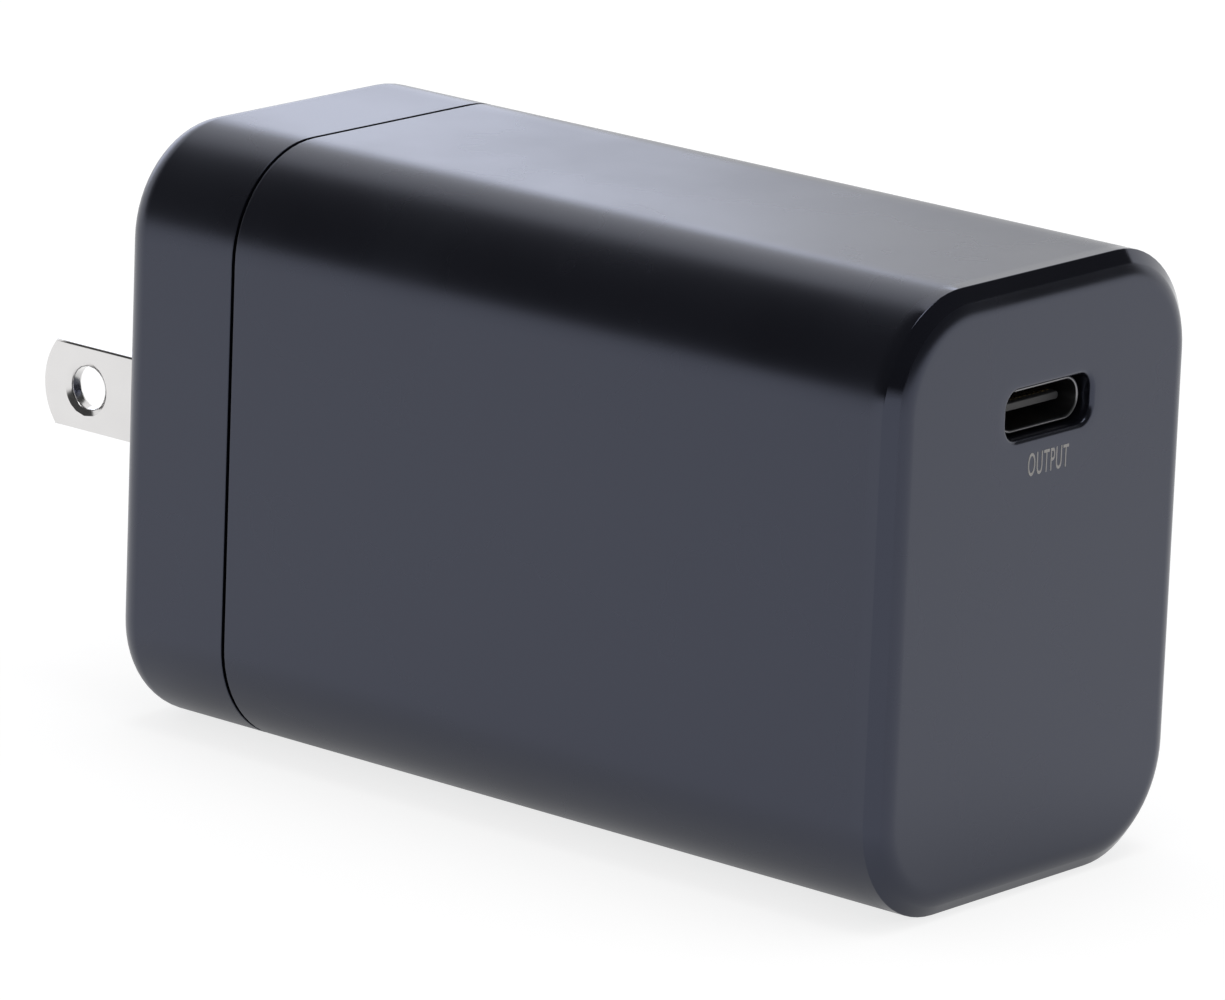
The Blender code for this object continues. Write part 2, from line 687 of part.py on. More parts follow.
def prong_retainer(shop):
    """The plate that closes the bearing block, with a finger on each journal and a spring peg."""
    retainer = shop.place(
        "prong_retainer",
        box(
            (-BLOCK_HALF_WIDTH, RETAINER_BACK_Y, WINDOW_FOOT_Z - RETAINER_FOOT),
            (BLOCK_HALF_WIDTH, RETAINER_Y, RETAINER_TOP_Z),
        ),
        "inner_black",
    )
    front, behind = RETAINER_Y + OVERSHOOT, RETAINER_BACK_Y - OVERSHOOT
    window = SLOT_HALF + GAP
    finger_y = PIVOT_Y - JOURNAL_RADIUS - GAP
    for side in SIDES.values():
        screw_place = (side * SCREW_X, SCREW_Z)
        shop.cut(
            retainer,
            side_box(
                side,
                PRONG_X - window,
                PRONG_X + window,
                (behind, WINDOW_FOOT_Z),
                (front, RETAINER_TOP_Z + OVERSHOOT),
            ),
            cylinder(SCREW_RADIUS + GAP, behind, front, "Y", screw_place, segments=16),
        )
        shop.join(
            retainer,
            side_box(
                side,
                COLLAR_END + 2 * GAP,
                JOURNAL_END,
                (RETAINER_Y - JOIN, -RETAINER_FINGER_HALF),
                (finger_y, RETAINER_FINGER_HALF),
            ),
        )
    peg_end = RETAINER_Y + GAP + SPRING_THICKNESS + FIT
    shop.join(
        retainer, cylinder(PEG_RADIUS, RETAINER_Y - JOIN, peg_end, "Y", (0, PEG_Z), segments=12)
    )


def detent_spring(shop):
    """The flat leaf that lies against the carrier's flats, hung on the retainer's peg."""
    back = RETAINER_Y + GAP
    front = back + SPRING_THICKNESS
    half = SPRING_WIDTH / 2
    bm = box((-half, back, SPRING_FOOT), (half, front, SPRING_TOP))
    leaf = shop.place("detent_spring", bm, "spring_steel")
    hole = (back - OVERSHOOT, front + OVERSHOOT)
    shop.cut(leaf, cylinder(PEG_RADIUS + GAP, *hole, "Y", (0, PEG_Z), segments=12))


def retainer_screw(shop, name, side):
    """A pan-head screw through the retainer into the bearing block, with a cross recess."""
    profile = [
        (0, -SCREW_HEAD_HEIGHT),
        (SCREW_HEAD_RADIUS, -SCREW_HEAD_HEIGHT),
        (SCREW_HEAD_RADIUS, 0),
        (SCREW_RADIUS, 0),
        (SCREW_RADIUS, SCREW_LENGTH),
        (0, SCREW_LENGTH),
    ]
    x = side * SCREW_X
    centre = (x, SCREW_HEAD_Y, SCREW_Z)
    screw = shop.turn(name, profile, centre, "Y", "spring_steel", steps=20)
    outer = SCREW_HEAD_Y - SCREW_HEAD_HEIGHT
    long_arm, short_arm = 0.6 * SCREW_HEAD_RADIUS, SCREW_RECESS_WIDTH / 2
    for across, up in ((long_arm, short_arm), (short_arm, long_arm)):
        shop.cut(
            screw,
            box(
                (x - across, outer - OVERSHOOT, SCREW_Z - up),
                (x + across, outer + SCREW_RECESS_DEPTH, SCREW_Z + up),
            ),
        )


def contact(shop, name, side):
    """The stamped strip beside a prong's tail, which runs down to a pin in the main board."""
    middle = CONTACT_REAR_Y - CONTACT_WIDTH / 2
    wide, narrow = CONTACT_WIDTH / 2, PIN_WIDTH / 2
    pin_foot = BOARD_FOOT_Z - PIN_LENGTH
    top = TAIL_WIDTH / 2 + GAP
    outline = [
        (middle - wide, top),
        (middle - wide, PART_Z),
        (middle - narrow, PART_Z),
        (middle - narrow, pin_foot),
        (middle + narrow, pin_foot),
        (middle + narrow, PART_Z),
        (middle + wide, PART_Z),
        (middle + wide, top),
    ]
    x = side * (CONTACT_X + CONTACT_THICKNESS / 2)
    shop.place(name, upright_plate([outline], CONTACT_THICKNESS, x), "brass")


def main_board(shop):
    """The long board that lies on the housing's ribs, with a hole for each contact's pin."""
    half_width = half_width_at(BOARD_FOOT_Z, WALL) - BOARD_SIDE_GAP
    board = shop.place(
        "main_board",
        box(
            (-half_width, FRONT_Y + FRONT_WALL + BOARD_FRONT_GAP, BOARD_FOOT_Z),
            (half_width, -BOARD_REAR, BOARD_TOP_Z),
        ),
        "board_green",
    )
    middle = CONTACT_REAR_Y - CONTACT_WIDTH / 2
    half = PIN_WIDTH / 2 + GAP
    for side in SIDES.values():
        shop.cut(
            board,
            side_box(
                side,
                CONTACT_X - GAP,
                CONTACT_X + CONTACT_THICKNESS + GAP,
                (middle - half, BOARD_FOOT_Z - OVERSHOOT),
                (middle + half, BOARD_TOP_Z + OVERSHOOT),
            ),
        )


def socket(shop):
    """The socket's own board, its steel shell and its moulded tongue, behind the front wall."""
    board_top = PORT_Z + PORT_BOARD_ABOVE
    half_width = half_width_at(board_top, WALL) - 2 * BOARD_SIDE_GAP
    shop.place(
        "port_board",
        box((-half_width, PORT_BOARD_Y, PART_Z), (half_width, PORT_BOARD_BACK_Y, board_top)),
        "board_green",
    )
    chip_y = PORT_BOARD_BACK_Y + GAP
    half = CHIP_WIDTH / 2
    shop.place(
        "protocol_chip",
        box((-half, chip_y, -half), (half, chip_y + CHIP_HEIGHT, half)),
        "chip_black",
    )
    bm = slot_prism(SHELL_WIDTH, SHELL_HEIGHT, SHELL_FRONT_Y, SHELL_BACK_Y)
    shell = shop.place("port_shell", bm, "spring_steel")
    bore = (SHELL_FRONT_Y - OVERSHOOT, SHELL_BACK_Y + OVERSHOOT)
    shop.cut(shell, slot_prism(SHELL_INNER_WIDTH, SHELL_INNER_HEIGHT, *bore))
    base_y = SHELL_BACK_Y - TONGUE_BASE_LENGTH
    bm = slot_prism(
        SHELL_INNER_WIDTH - 2 * FIT, SHELL_INNER_HEIGHT - 2 * FIT, base_y, SHELL_BACK_Y
    )
    tongue = shop.place("port_tongue", bm, "inner_black")
    half_width, half_height = TONGUE_WIDTH / 2, TONGUE_HEIGHT / 2
    shop.join(
        tongue,
        box(
            (PORT_X - half_width, SHELL_FRONT_Y + TONGUE_RECESS, PORT_Z - half_height),
            (PORT_X + half_width, base_y + JOIN, PORT_Z + half_height),
        ),
    )


def transformer(shop):
    """The ferrite core with its middle post, the bobbin on the post and the winding on that."""
    window_low, window_high = PART_Z + CORE_PLATE, CORE_TOP_Z - CORE_PLATE
    window_half = CORE_HALF_WIDTH - CORE_LEG
    core = shop.place(
        "transformer_core",
        box((-CORE_HALF_WIDTH, CORE_FRONT_Y, PART_Z), (CORE_HALF_WIDTH, CORE_REAR_Y, CORE_TOP_Z)),
        "ferrite",
    )
    shop.cut(
        core,
        box(
            (-window_half, CORE_FRONT_Y - OVERSHOOT, window_low),
            (window_half, CORE_REAR_Y + OVERSHOOT, window_high),
        ),
    )
    post = (window_low - JOIN, window_high + JOIN)
    shop.join(core, cylinder(CORE_POST_RADIUS, *post, "Z", (0, CORE_Y)))
    bore = CORE_POST_RADIUS + GAP
    barrel = bore + BOBBIN_WALL
    rim = min(window_half, CORE_DEPTH / 2) - GAP
    half = (window_high - window_low) / 2 - GAP
    inner_half = half - BOBBIN_FLANGE
    spool = [
        (bore, -half),
        (rim, -half),
        (rim, -inner_half),
        (barrel, -inner_half),
        (barrel, inner_half),
        (rim, inner_half),
        (rim, half),
        (bore, half),
    ]
    centre = (0, CORE_Y, (window_low + window_high) / 2)
    shop.turn("transformer_bobbin", spool, centre, "Z", "bobbin_white", steps=32)
    coil = inner_half - GAP
    ring = [
        (barrel + GAP, -coil),
        (rim - GAP, -coil),
        (rim - GAP, coil),
        (barrel + GAP, coil),
    ]
    shop.turn("transformer_winding", ring, centre, "Z", "copper", steps=32)


def can(shop, name, radius, length, centre, axis, material):
    """A capacitor's can, with the crimped groove near its rubber end; centre is that end's."""
    neck = radius - GROOVE_DEPTH
    profile = [
        (0, 0),
        (radius, 0),
        (radius, GROOVE_PLACE),
        (neck, GROOVE_PLACE),
        (neck, GROOVE_PLACE + GROOVE_WIDTH),
        (radius, GROOVE_PLACE + GROOVE_WIDTH),
        (radius, length),
        (0, length),
    ]
    shop.turn(name, profile, centre, axis, material)


def capacitors(shop):
    """Three storage cans on the mains side and two on the output."""
    bulk_front = PART_Y - BULK_PLACE - BULK_LENGTH
    for word, side in SIDES.items():
        centre = (side * (BULK_RADIUS + GAP), bulk_front, BULK_Z)
        name = f"bulk_capacitor_{word}"
        can(shop, name, BULK_RADIUS, BULK_LENGTH, centre, "Y", "can_sleeve")
        centre = (side * OUTPUT_X, OUTPUT_Y, PART_Z)
        name = f"output_capacitor_{word}"
        can(shop, name, OUTPUT_RADIUS, OUTPUT_HEIGHT, centre, "Z", "can_aluminium")
    centre = (-CROSS_BULK_LENGTH / 2, PART_Y - BULK_RADIUS, CROSS_BULK_Z)
    can(shop, "bulk_capacitor_cross", BULK_RADIUS, CROSS_BULK_LENGTH, centre, "X", "can_sleeve")


def choke(shop):
    """The mains choke: a ferrite ring with a winding over its upper and its lower half."""
    half = CHOKE_DEPTH / 2
    ring = [(CHOKE_BORE, -half), (CHOKE_RADIUS, -half), (CHOKE_RADIUS, half), (CHOKE_BORE, half)]
    shop.turn("choke_core", ring, (CHOKE_X, CHOKE_Y, CHOKE_Z), "Y", "ferrite")
    wider = CHOKE_SPREAD + math.radians(40)
    for word, middle in (("upper", math.pi / 2), ("lower", -math.pi / 2)):
        name = f"choke_winding_{word}"
        winding = shop.place(name, ring_sector(CHOKE_WIRE, middle, CHOKE_SPREAD), "copper")
        shop.cut(winding, ring_sector(GAP, middle, wider))


def ring_sector(grow, middle, spread):
    """A sector of the choke's ring, grown all round by grow, as a plate across Y."""
    inner, outer = CHOKE_BORE - grow, CHOKE_RADIUS + grow
    first, last = middle - spread / 2, middle + spread / 2
    outline = arc((0, 0), outer, first, last, 12) + arc((0, 0), inner, last, first, 12)
    turn = Matrix(((1, 0, 0, CHOKE_X), (0, 0, -1, CHOKE_Y), (0, 1, 0, CHOKE_Z), (0, 0, 0, 1)))
    return plate([outline], CHOKE_DEPTH + 2 * grow, turn)


def small_parts(shop):
    """The plain blocks and discs that stand on the main board."""
    for name, (material, (x, front, up), size) in BLOCKS.items():
        corner = Vector((x * MM, PART_Y - front * MM, PART_Z + up * MM))
        shop.place(name, box(corner, corner + Vector(size) * MM), material)
    for name, (material, radius, thickness, (x, front, up)) in DISCS.items():
        start = PART_Y - front * MM
        centre = (x * MM, PART_Z + up * MM)
        bm = cylinder(radius * MM, start, start + thickness * MM, "Y", centre)
        shop.place(name, bm, material)


def arch(shop, name, inset, thickness, material):
    """A thin arch that follows the body's section inside the walls, open along its foot."""
    front, rear = PORT_BOARD_BACK_Y + ARCH_FRONT_GAP, -ARCH_REAR
    piece = shop.place(name, body_prism(inset, front, rear), material)
    front, rear = front - OVERSHOOT, rear + OVERSHOOT
    foot = (BODY_WIDTH, rear, BOARD_TOP_Z + ARCH_FOOT_GAP)
    shop.cut(
        piece,
        body_prism(inset + thickness, front, rear),
        box((-BODY_WIDTH, front, FOOT_Z - OVERSHOOT), foot),
    )


def heat_path(shop):
    """The aluminium spreader, the insulating sleeve inside it and the transformer's pads."""
    arch(shop, "heat_spreader", SPREADER_INSET, SPREADER_THICKNESS, "aluminium")
    arch(shop, "insulation_sleeve", SLEEVE_INSET, SLEEVE_THICKNESS, "film_amber")
    near = CORE_HALF_WIDTH + GAP
    half = PAD_SIZE / 2
    middle_z = (PART_Z + CORE_TOP_Z) / 2
    low, high = (CORE_Y - half, middle_z - half), (CORE_Y + half, middle_z + half)
    for word, side in SIDES.items():
        bm = side_box(side, near, near + PAD_THICKNESS, low, high)
        shop.place(f"thermal_pad_{word}", bm, "pad_grey")


def main():
    clear_scene()
    shop = Workshop()
    pivot = bpy.data.objects.new("prong_pivot", None)
    pivot.location = (0, PIVOT_Y, 0)
    shop.pieces.objects.link(pivot)
    main_housing(shop)
    rear_cover(shop)
    prong_carrier(shop, pivot)
    prong_retainer(shop)
    detent_spring(shop)
    for word, side in SIDES.items():
        prong(shop, f"prong_{word}", side, pivot)
        retainer_screw(shop, f"retainer_screw_{word}", side)
        contact(shop, f"contact_{word}", side)
    main_board(shop)
    socket(shop)
    transformer(shop)
    capacitors(shop)
    choke(shop)
    small_parts(shop)
    heat_path(shop)


main()
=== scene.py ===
"""Looks of a plug-in wall charger: satin shell, glossy front bevel, plated prongs, lined socket.

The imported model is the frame: +Y points into the wall, the socket faces -Y, +Z is up, and
the origin is the middle of the wall face between the prongs. Lengths are in metres.
"""

import json
import logging
import math
from collections.abc import Sequence
from dataclasses import dataclass, field, replace
from enum import Enum

import bmesh
import bpy
import numpy as np
from mathutils import Matrix, Vector


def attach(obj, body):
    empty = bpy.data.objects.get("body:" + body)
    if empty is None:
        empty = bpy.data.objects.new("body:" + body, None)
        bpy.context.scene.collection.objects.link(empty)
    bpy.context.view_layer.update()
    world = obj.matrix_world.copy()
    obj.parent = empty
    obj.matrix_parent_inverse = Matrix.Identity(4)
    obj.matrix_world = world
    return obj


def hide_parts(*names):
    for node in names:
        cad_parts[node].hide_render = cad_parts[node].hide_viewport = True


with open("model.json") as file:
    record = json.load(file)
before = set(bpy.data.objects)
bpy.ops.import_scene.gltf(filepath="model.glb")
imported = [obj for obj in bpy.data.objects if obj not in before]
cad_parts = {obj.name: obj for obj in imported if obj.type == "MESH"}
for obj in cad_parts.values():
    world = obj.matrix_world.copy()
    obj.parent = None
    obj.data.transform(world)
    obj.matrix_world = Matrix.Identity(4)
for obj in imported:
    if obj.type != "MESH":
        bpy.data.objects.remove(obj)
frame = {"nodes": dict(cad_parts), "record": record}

LOG = logging.getLogger("wall_charger")
MM = 0.001
POLISHED_RINGS = 12

Colour = tuple[float, float, float]
Point = tuple[float, float, float]


class Body(Enum):
    """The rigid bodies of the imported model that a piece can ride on."""

    CHARGER = "charger"
    PRONGS = "prongs"


class Side(Enum):
    """The two sides of the middle plane, as the sign of X."""

    LEFT = -1
    RIGHT = 1


# ---------------------------------------------------------------------------
# Surfaces
# ---------------------------------------------------------------------------


@dataclass(frozen=True)
class Section:
    """A rounded rectangle across the Y axis, as (x, z)."""

    width: float
    height: float
    radius: float
    x: float = 0.0
    z: float = 0.0
    arc_steps: int = 16
    side_steps: int = 10

    def grown(self, amount: float) -> "Section":
        """The same outline moved outwards by amount all round, or inwards if it is negative."""
        return replace(
            self,
            width=self.width + 2 * amount,
            height=self.height + 2 * amount,
            radius=self.radius + amount,
        )

    def loop(self) -> np.ndarray:
        """The outline's points, anticlockwise seen from -Y, starting on the right side.

        Each quarter is a straight half side, a quarter circle and the next half side: with
        t from 0 to 1 the arc is centre + radius * (cos(t * 90 degrees), sin(t * 90 degrees)),
        and the quarter is then turned to its corner.

        Returns:
            An array of (x, z) rows.
        """
        half_w, half_h = self.width / 2, self.height / 2
        t = np.linspace(0, math.pi / 2, self.arc_steps + 1)
        s = np.linspace(0, 1, self.side_steps + 1)[1:-1]
        quarters = []
        for turn in range(4):
            w, h = (half_w, half_h) if turn % 2 == 0 else (half_h, half_w)
            rise = np.stack([np.full_like(s, w), s * (h - self.radius)], axis=1)
            bend = np.stack(
                [w - self.radius + self.radius * np.cos(t), h - self.radius + self.radius * np.sin(t)],
                axis=1,
            )
            run = np.stack([(1 - s) * (w - self.radius), np.full_like(s, h)], axis=1)
            start = np.array([[w, 0.0]])
            quarter = np.concatenate([start, rise, bend, run])
            c, d = [(1, 0), (0, 1), (-1, 0), (0, -1)][turn]
            quarters.append(quarter @ np.array([[c, d], [-d, c]]))
        return np.concatenate(quarters) + np.array([self.x, self.z])


def fillet(corners: Sequence[tuple[float, float, float]], steps: int = 6) -> np.ndarray:
    """A polyline in a plane whose corners are rounded.

    At each corner of radius r the two straight runs are cut back by r * tan(a / 2), where a
    is the angle between them, and an arc of radius r joins the cuts.

    Args:
        corners: Rows of (u, v, radius). The first and the last are ends, and aren't rounded.
        steps: The number of arc steps in each rounded corner.

    Returns:
        An array of (u, v) rows.
    """
    rows = np.array(corners, float)
    points = [rows[0, :2]]
    for before, here, after in zip(rows, rows[1:], rows[2:]):
        inward, outward = here[:2] - before[:2], after[:2] - here[:2]
        inward /= np.linalg.norm(inward)
        outward /= np.linalg.norm(outward)
        cross = inward[0] * outward[1] - inward[1] * outward[0]
        turn = math.atan2(cross, float(inward @ outward))
        if here[2] <= 0 or abs(turn) < 1e-4:
            points.append(here[:2])
            continue
        cut = here[2] * math.tan(abs(turn) / 2)
        normal = np.array([-inward[1], inward[0]]) * math.copysign(1, turn)
        centre = here[:2] - inward * cut + normal * here[2]
        t = np.linspace(0, abs(turn), steps + 1)[:, None]
        points.extend(centre - normal * here[2] * np.cos(t) + inward * here[2] * np.sin(t))
    points.append(rows[-1, :2])
    return np.array(points)


def ring(loop: np.ndarray, y: float) -> np.ndarray:
    """A loop of (x, z) as a ring of points in the plane at y."""
    return np.stack([loop[:, 0], np.full(len(loop), y), loop[:, 1]], axis=1)


def grid_mesh(name: str, rings: np.ndarray, joined: bool, capped: bool = False) -> bpy.types.Mesh:
    """A mesh from a grid of points, closed round each ring.

    Args:
        name: The mesh's name.
        rings: An array of rings by points by 3, where row i, column j is the surface at
            profile parameter i and outline parameter j.
        joined: Whether the last ring runs on into the first, as on a torus.
        capped: Whether the first and the last ring are each closed by one flat face.

    Returns:
        The mesh, with its faces outwards.
    """
    count, around, _ = rings.shape
    index = np.arange(count * around).reshape(count, around)
    if joined:
        index = np.concatenate([index, index[:1]])
    beside = np.roll(index, -1, axis=1)
    quads = np.stack([index[:-1], index[1:], beside[1:], beside[:-1]], axis=-1).reshape(-1, 4)
    faces = quads.tolist()
    if capped:
        faces += [index[0].tolist(), index[-1][::-1].tolist()]
    mesh = bpy.data.meshes.new(name)
    mesh.from_pydata(rings.reshape(-1, 3).tolist(), [], faces)
    mesh.validate()
    face_outwards(mesh)
    return mesh


def face_outwards(mesh: bpy.types.Mesh) -> None:
    """Turns a closed mesh's faces outwards, which makes its signed volume positive."""
    bm = bmesh.new()
    bm.from_mesh(mesh)
    bmesh.ops.recalc_face_normals(bm, faces=bm.faces)
    if bm.calc_volume(signed=True) < 0:
        bmesh.ops.reverse_faces(bm, faces=bm.faces)
    bm.to_mesh(mesh)
    bm.free()


def smooth(mesh: bpy.types.Mesh, angle: float = 32.0) -> None:
    """Shades a mesh smooth, apart from the edges that are sharper than angle in degrees."""
    mesh.shade_smooth()
    mesh.set_sharp_from_angle(angle=math.radians(angle))


def slab(low: Point, high: Point) -> np.ndarray:
    """A box as four rings of a square outline along Y, which grid_mesh caps.

    Args:
        low: The lowest corner.
        high: The highest corner.

    Returns:
        A grid of two rings by four points.
    """
    corners = np.array([[low[0], low[2]], [high[0], low[2]], [high[0], high[2]], [low[0], high[2]]])
    return np.stack([ring(corners, low[1]), ring(corners, high[1])])


def drum(
    radius: float, start: float, end: float, centre: tuple[float, float], around: int = 48
) -> np.ndarray:
    """A cylinder along X: centre + radius * (cos t, sin t) in (y, z), at each end.

    Args:
        radius: Its radius.
        start: The lowest X.
        end: The highest X.
        centre: The axis, as (y, z).
        around: The number of points round it.

    Returns:
        A grid of two rings, which grid_mesh caps.
    """
    t = np.linspace(0, 2 * math.pi, around, endpoint=False)
    yz = np.stack([centre[0] + radius * np.cos(t), centre[1] + radius * np.sin(t)], axis=1)
    return np.stack([np.insert(yz, 0, x, axis=1) for x in (start, end)])


def flatten_sides(mesh: bpy.types.Mesh) -> None:
    """Shades the faces square to X flat, so that long thin faces there show no streaks."""
    normals = np.empty(len(mesh.polygons) * 3)
    mesh.polygons.foreach_get("normal", normals)
    rounded = np.abs(normals.reshape(-1, 3)[:, 0]) < 0.9999
    mesh.polygons.foreach_set("use_smooth", rounded)
    mesh.update()


def add_piece(name: str, mesh: bpy.types.Mesh) -> bpy.types.Object:
    """Puts a mesh into the scene as an object at the origin."""
    obj = bpy.data.objects.new(name, mesh)
    bpy.context.scene.collection.objects.link(obj)
    return obj


def carve(target: bpy.types.Object, grid: np.ndarray, operation: str) -> None:
    """Cuts a capped grid out of a piece, or joins it on, and keeps the result as its mesh.

    Args:
        target: The piece to change.
        grid: The rings of the tool.
        operation: DIFFERENCE or UNION, as the Boolean modifier names them.
    """
    tool = add_piece("tool", grid_mesh("tool", grid, joined=False, capped=True))
    modifier = target.modifiers.new("carve", "BOOLEAN")
    modifier.operation = operation
    modifier.solver = "MANIFOLD"
    modifier.object = tool
    graph = bpy.context.evaluated_depsgraph_get()
    result = bpy.data.meshes.new_from_object(target.evaluated_get(graph))
    target.modifiers.clear()
    old, target.data = target.data, result
    bpy.data.meshes.remove(old)
    bpy.data.objects.remove(tool)


# ---------------------------------------------------------------------------
# Finishes
# ---------------------------------------------------------------------------


class NodeSheet:
    """Builds one node tree, a material's or a group's, in few words."""

    def __init__(self, tree: bpy.types.NodeTree) -> None:
        """Keeps the tree.

        Args:
            tree: The node tree to build in.
        """
        self.tree = tree

    def add(self, kind: str, inputs: dict | None = None, **settings: object) -> bpy.types.Node:
        """Adds a node.

        Args:
            kind: The node's type, without the words ShaderNode.
            inputs: Socket name or number to a value, or to a socket to link from.
            **settings: Properties of the node itself.

        Returns:
            The new node.
        """
        prefix = "" if kind.startswith("NodeGroup") else "ShaderNode"
        node = self.tree.nodes.new(prefix + kind)
        for key, value in settings.items():
            setattr(node, key, value)
        for key, value in (inputs or {}).items():
            if isinstance(value, bpy.types.NodeSocket):
                self.tree.links.new(value, node.inputs[key])
            else:
                node.inputs[key].default_value = value
        return node

    def ramp(
        self, value: bpy.types.NodeSocket, low: float, high: float, out_low: float, out_high: float
    ) -> bpy.types.NodeSocket:
        """Maps a value from low..high to out_low..out_high, without running past the ends."""
        node = self.add("MapRange", {0: value, 1: low, 2: high, 3: out_low, 4: out_high})
        return node.outputs[0]

    def mix(self, factor: bpy.types.NodeSocket, first: object, second: object) -> bpy.types.NodeSocket:
        """Mixes two colours by a factor that changes over the surface."""
        node = self.add("Mix", {0: factor, 6: first, 7: second}, data_type="RGBA")
        return node.outputs[2]


def group_tree(
    name: str, inputs: dict[str, float], outputs: dict[str, str]
) -> tuple[NodeSheet, bpy.types.Node, bpy.types.Node]:
    """Starts a shader node group with named sockets.

    Args:
        name: The group's name.
        inputs: Each input's name and default value.
        outputs: Each output's name and socket type.

    Returns:
        The sheet to build in, the node of the inputs and the node of the outputs.
    """
    tree = bpy.data.node_groups.new(name, "ShaderNodeTree")
    tree.interface.new_socket("Position", in_out="INPUT", socket_type="NodeSocketVector")
    for label, value in inputs.items():
        socket = tree.interface.new_socket(label, in_out="INPUT", socket_type="NodeSocketFloat")
        socket.default_value = value
    for label, kind in outputs.items():
        tree.interface.new_socket(label, in_out="OUTPUT", socket_type=kind)
    sheet = NodeSheet(tree)
    return sheet, sheet.add("NodeGroupInput"), sheet.add("NodeGroupOutput")


def grain_group() -> bpy.types.NodeTree:
    """The fine texture of a moulded or rolled surface, with patches that are a little duller.

    Returns:
        A group that puts out Height, Roughness and Shade.
    """
    made = bpy.data.node_groups.get("surface_grain")
    if made:
        return made
    sheet, inputs, outputs = group_tree(
        "surface_grain",
        {"Grain Scale": 9000.0, "Patch Scale": 90.0, "Roughness": 0.35, "Roughness Spread": 0.05},
        {"Height": "NodeSocketFloat", "Roughness": "NodeSocketFloat", "Shade": "NodeSocketFloat"},
    )
    place = inputs.outputs["Position"]
    grain = sheet.add("TexNoise", {"Vector": place, "Scale": inputs.outputs["Grain Scale"], "Detail": 3.0})
    patch = sheet.add("TexNoise", {"Vector": place, "Scale": inputs.outputs["Patch Scale"], "Detail": 4.0})
    level = sheet.ramp(patch.outputs["Fac"], 0.35, 0.65, -1.0, 1.0)
    spread = sheet.add("Math", {0: level, 1: inputs.outputs["Roughness Spread"]}, operation="MULTIPLY")
    rough = sheet.add("Math", {0: spread.outputs[0], 1: inputs.outputs["Roughness"]}, operation="ADD")
    links = sheet.tree.links
    links.new(grain.outputs["Fac"], outputs.inputs["Height"])
    links.new(rough.outputs[0], outputs.inputs["Roughness"])
    links.new(patch.outputs["Fac"], outputs.inputs["Shade"])
    return sheet.tree


def dust_group() -> bpy.types.NodeTree:
    """Sparse pale specks of dust: small cells whose random value is high.

    Returns:
        A group that puts out a Mask.
    """
    made = bpy.data.node_groups.get("dust_specks")
    if made:
        return made
    sheet, inputs, outputs = group_tree(
        "dust_specks", {"Scale": 350.0, "Amount": 0.02}, {"Mask": "NodeSocketFloat"}
    )
    cells = sheet.add("TexVoronoi", {"Vector": inputs.outputs["Position"], "Scale": inputs.outputs["Scale"]})
    near = sheet.ramp(cells.outputs["Distance"], 0.06, 0.12, 1.0, 0.0)
    pick = sheet.add("SeparateColor", {0: cells.outputs["Color"]})
    few = sheet.add("Math", {0: pick.outputs[0], 1: inputs.outputs["Amount"]}, operation="LESS_THAN")
    mask = sheet.add("Math", {0: near, 1: few.outputs[0]}, operation="MULTIPLY")
    sheet.tree.links.new(mask.outputs[0], outputs.inputs["Mask"])
    return sheet.tree


class Pattern(Enum):
    """What a finish has beside its grain."""

    PLAIN = "plain"
    TURNS = "turns of wire"
    BRUSHED = "drawn lines"
    TRACKS = "board tracks"


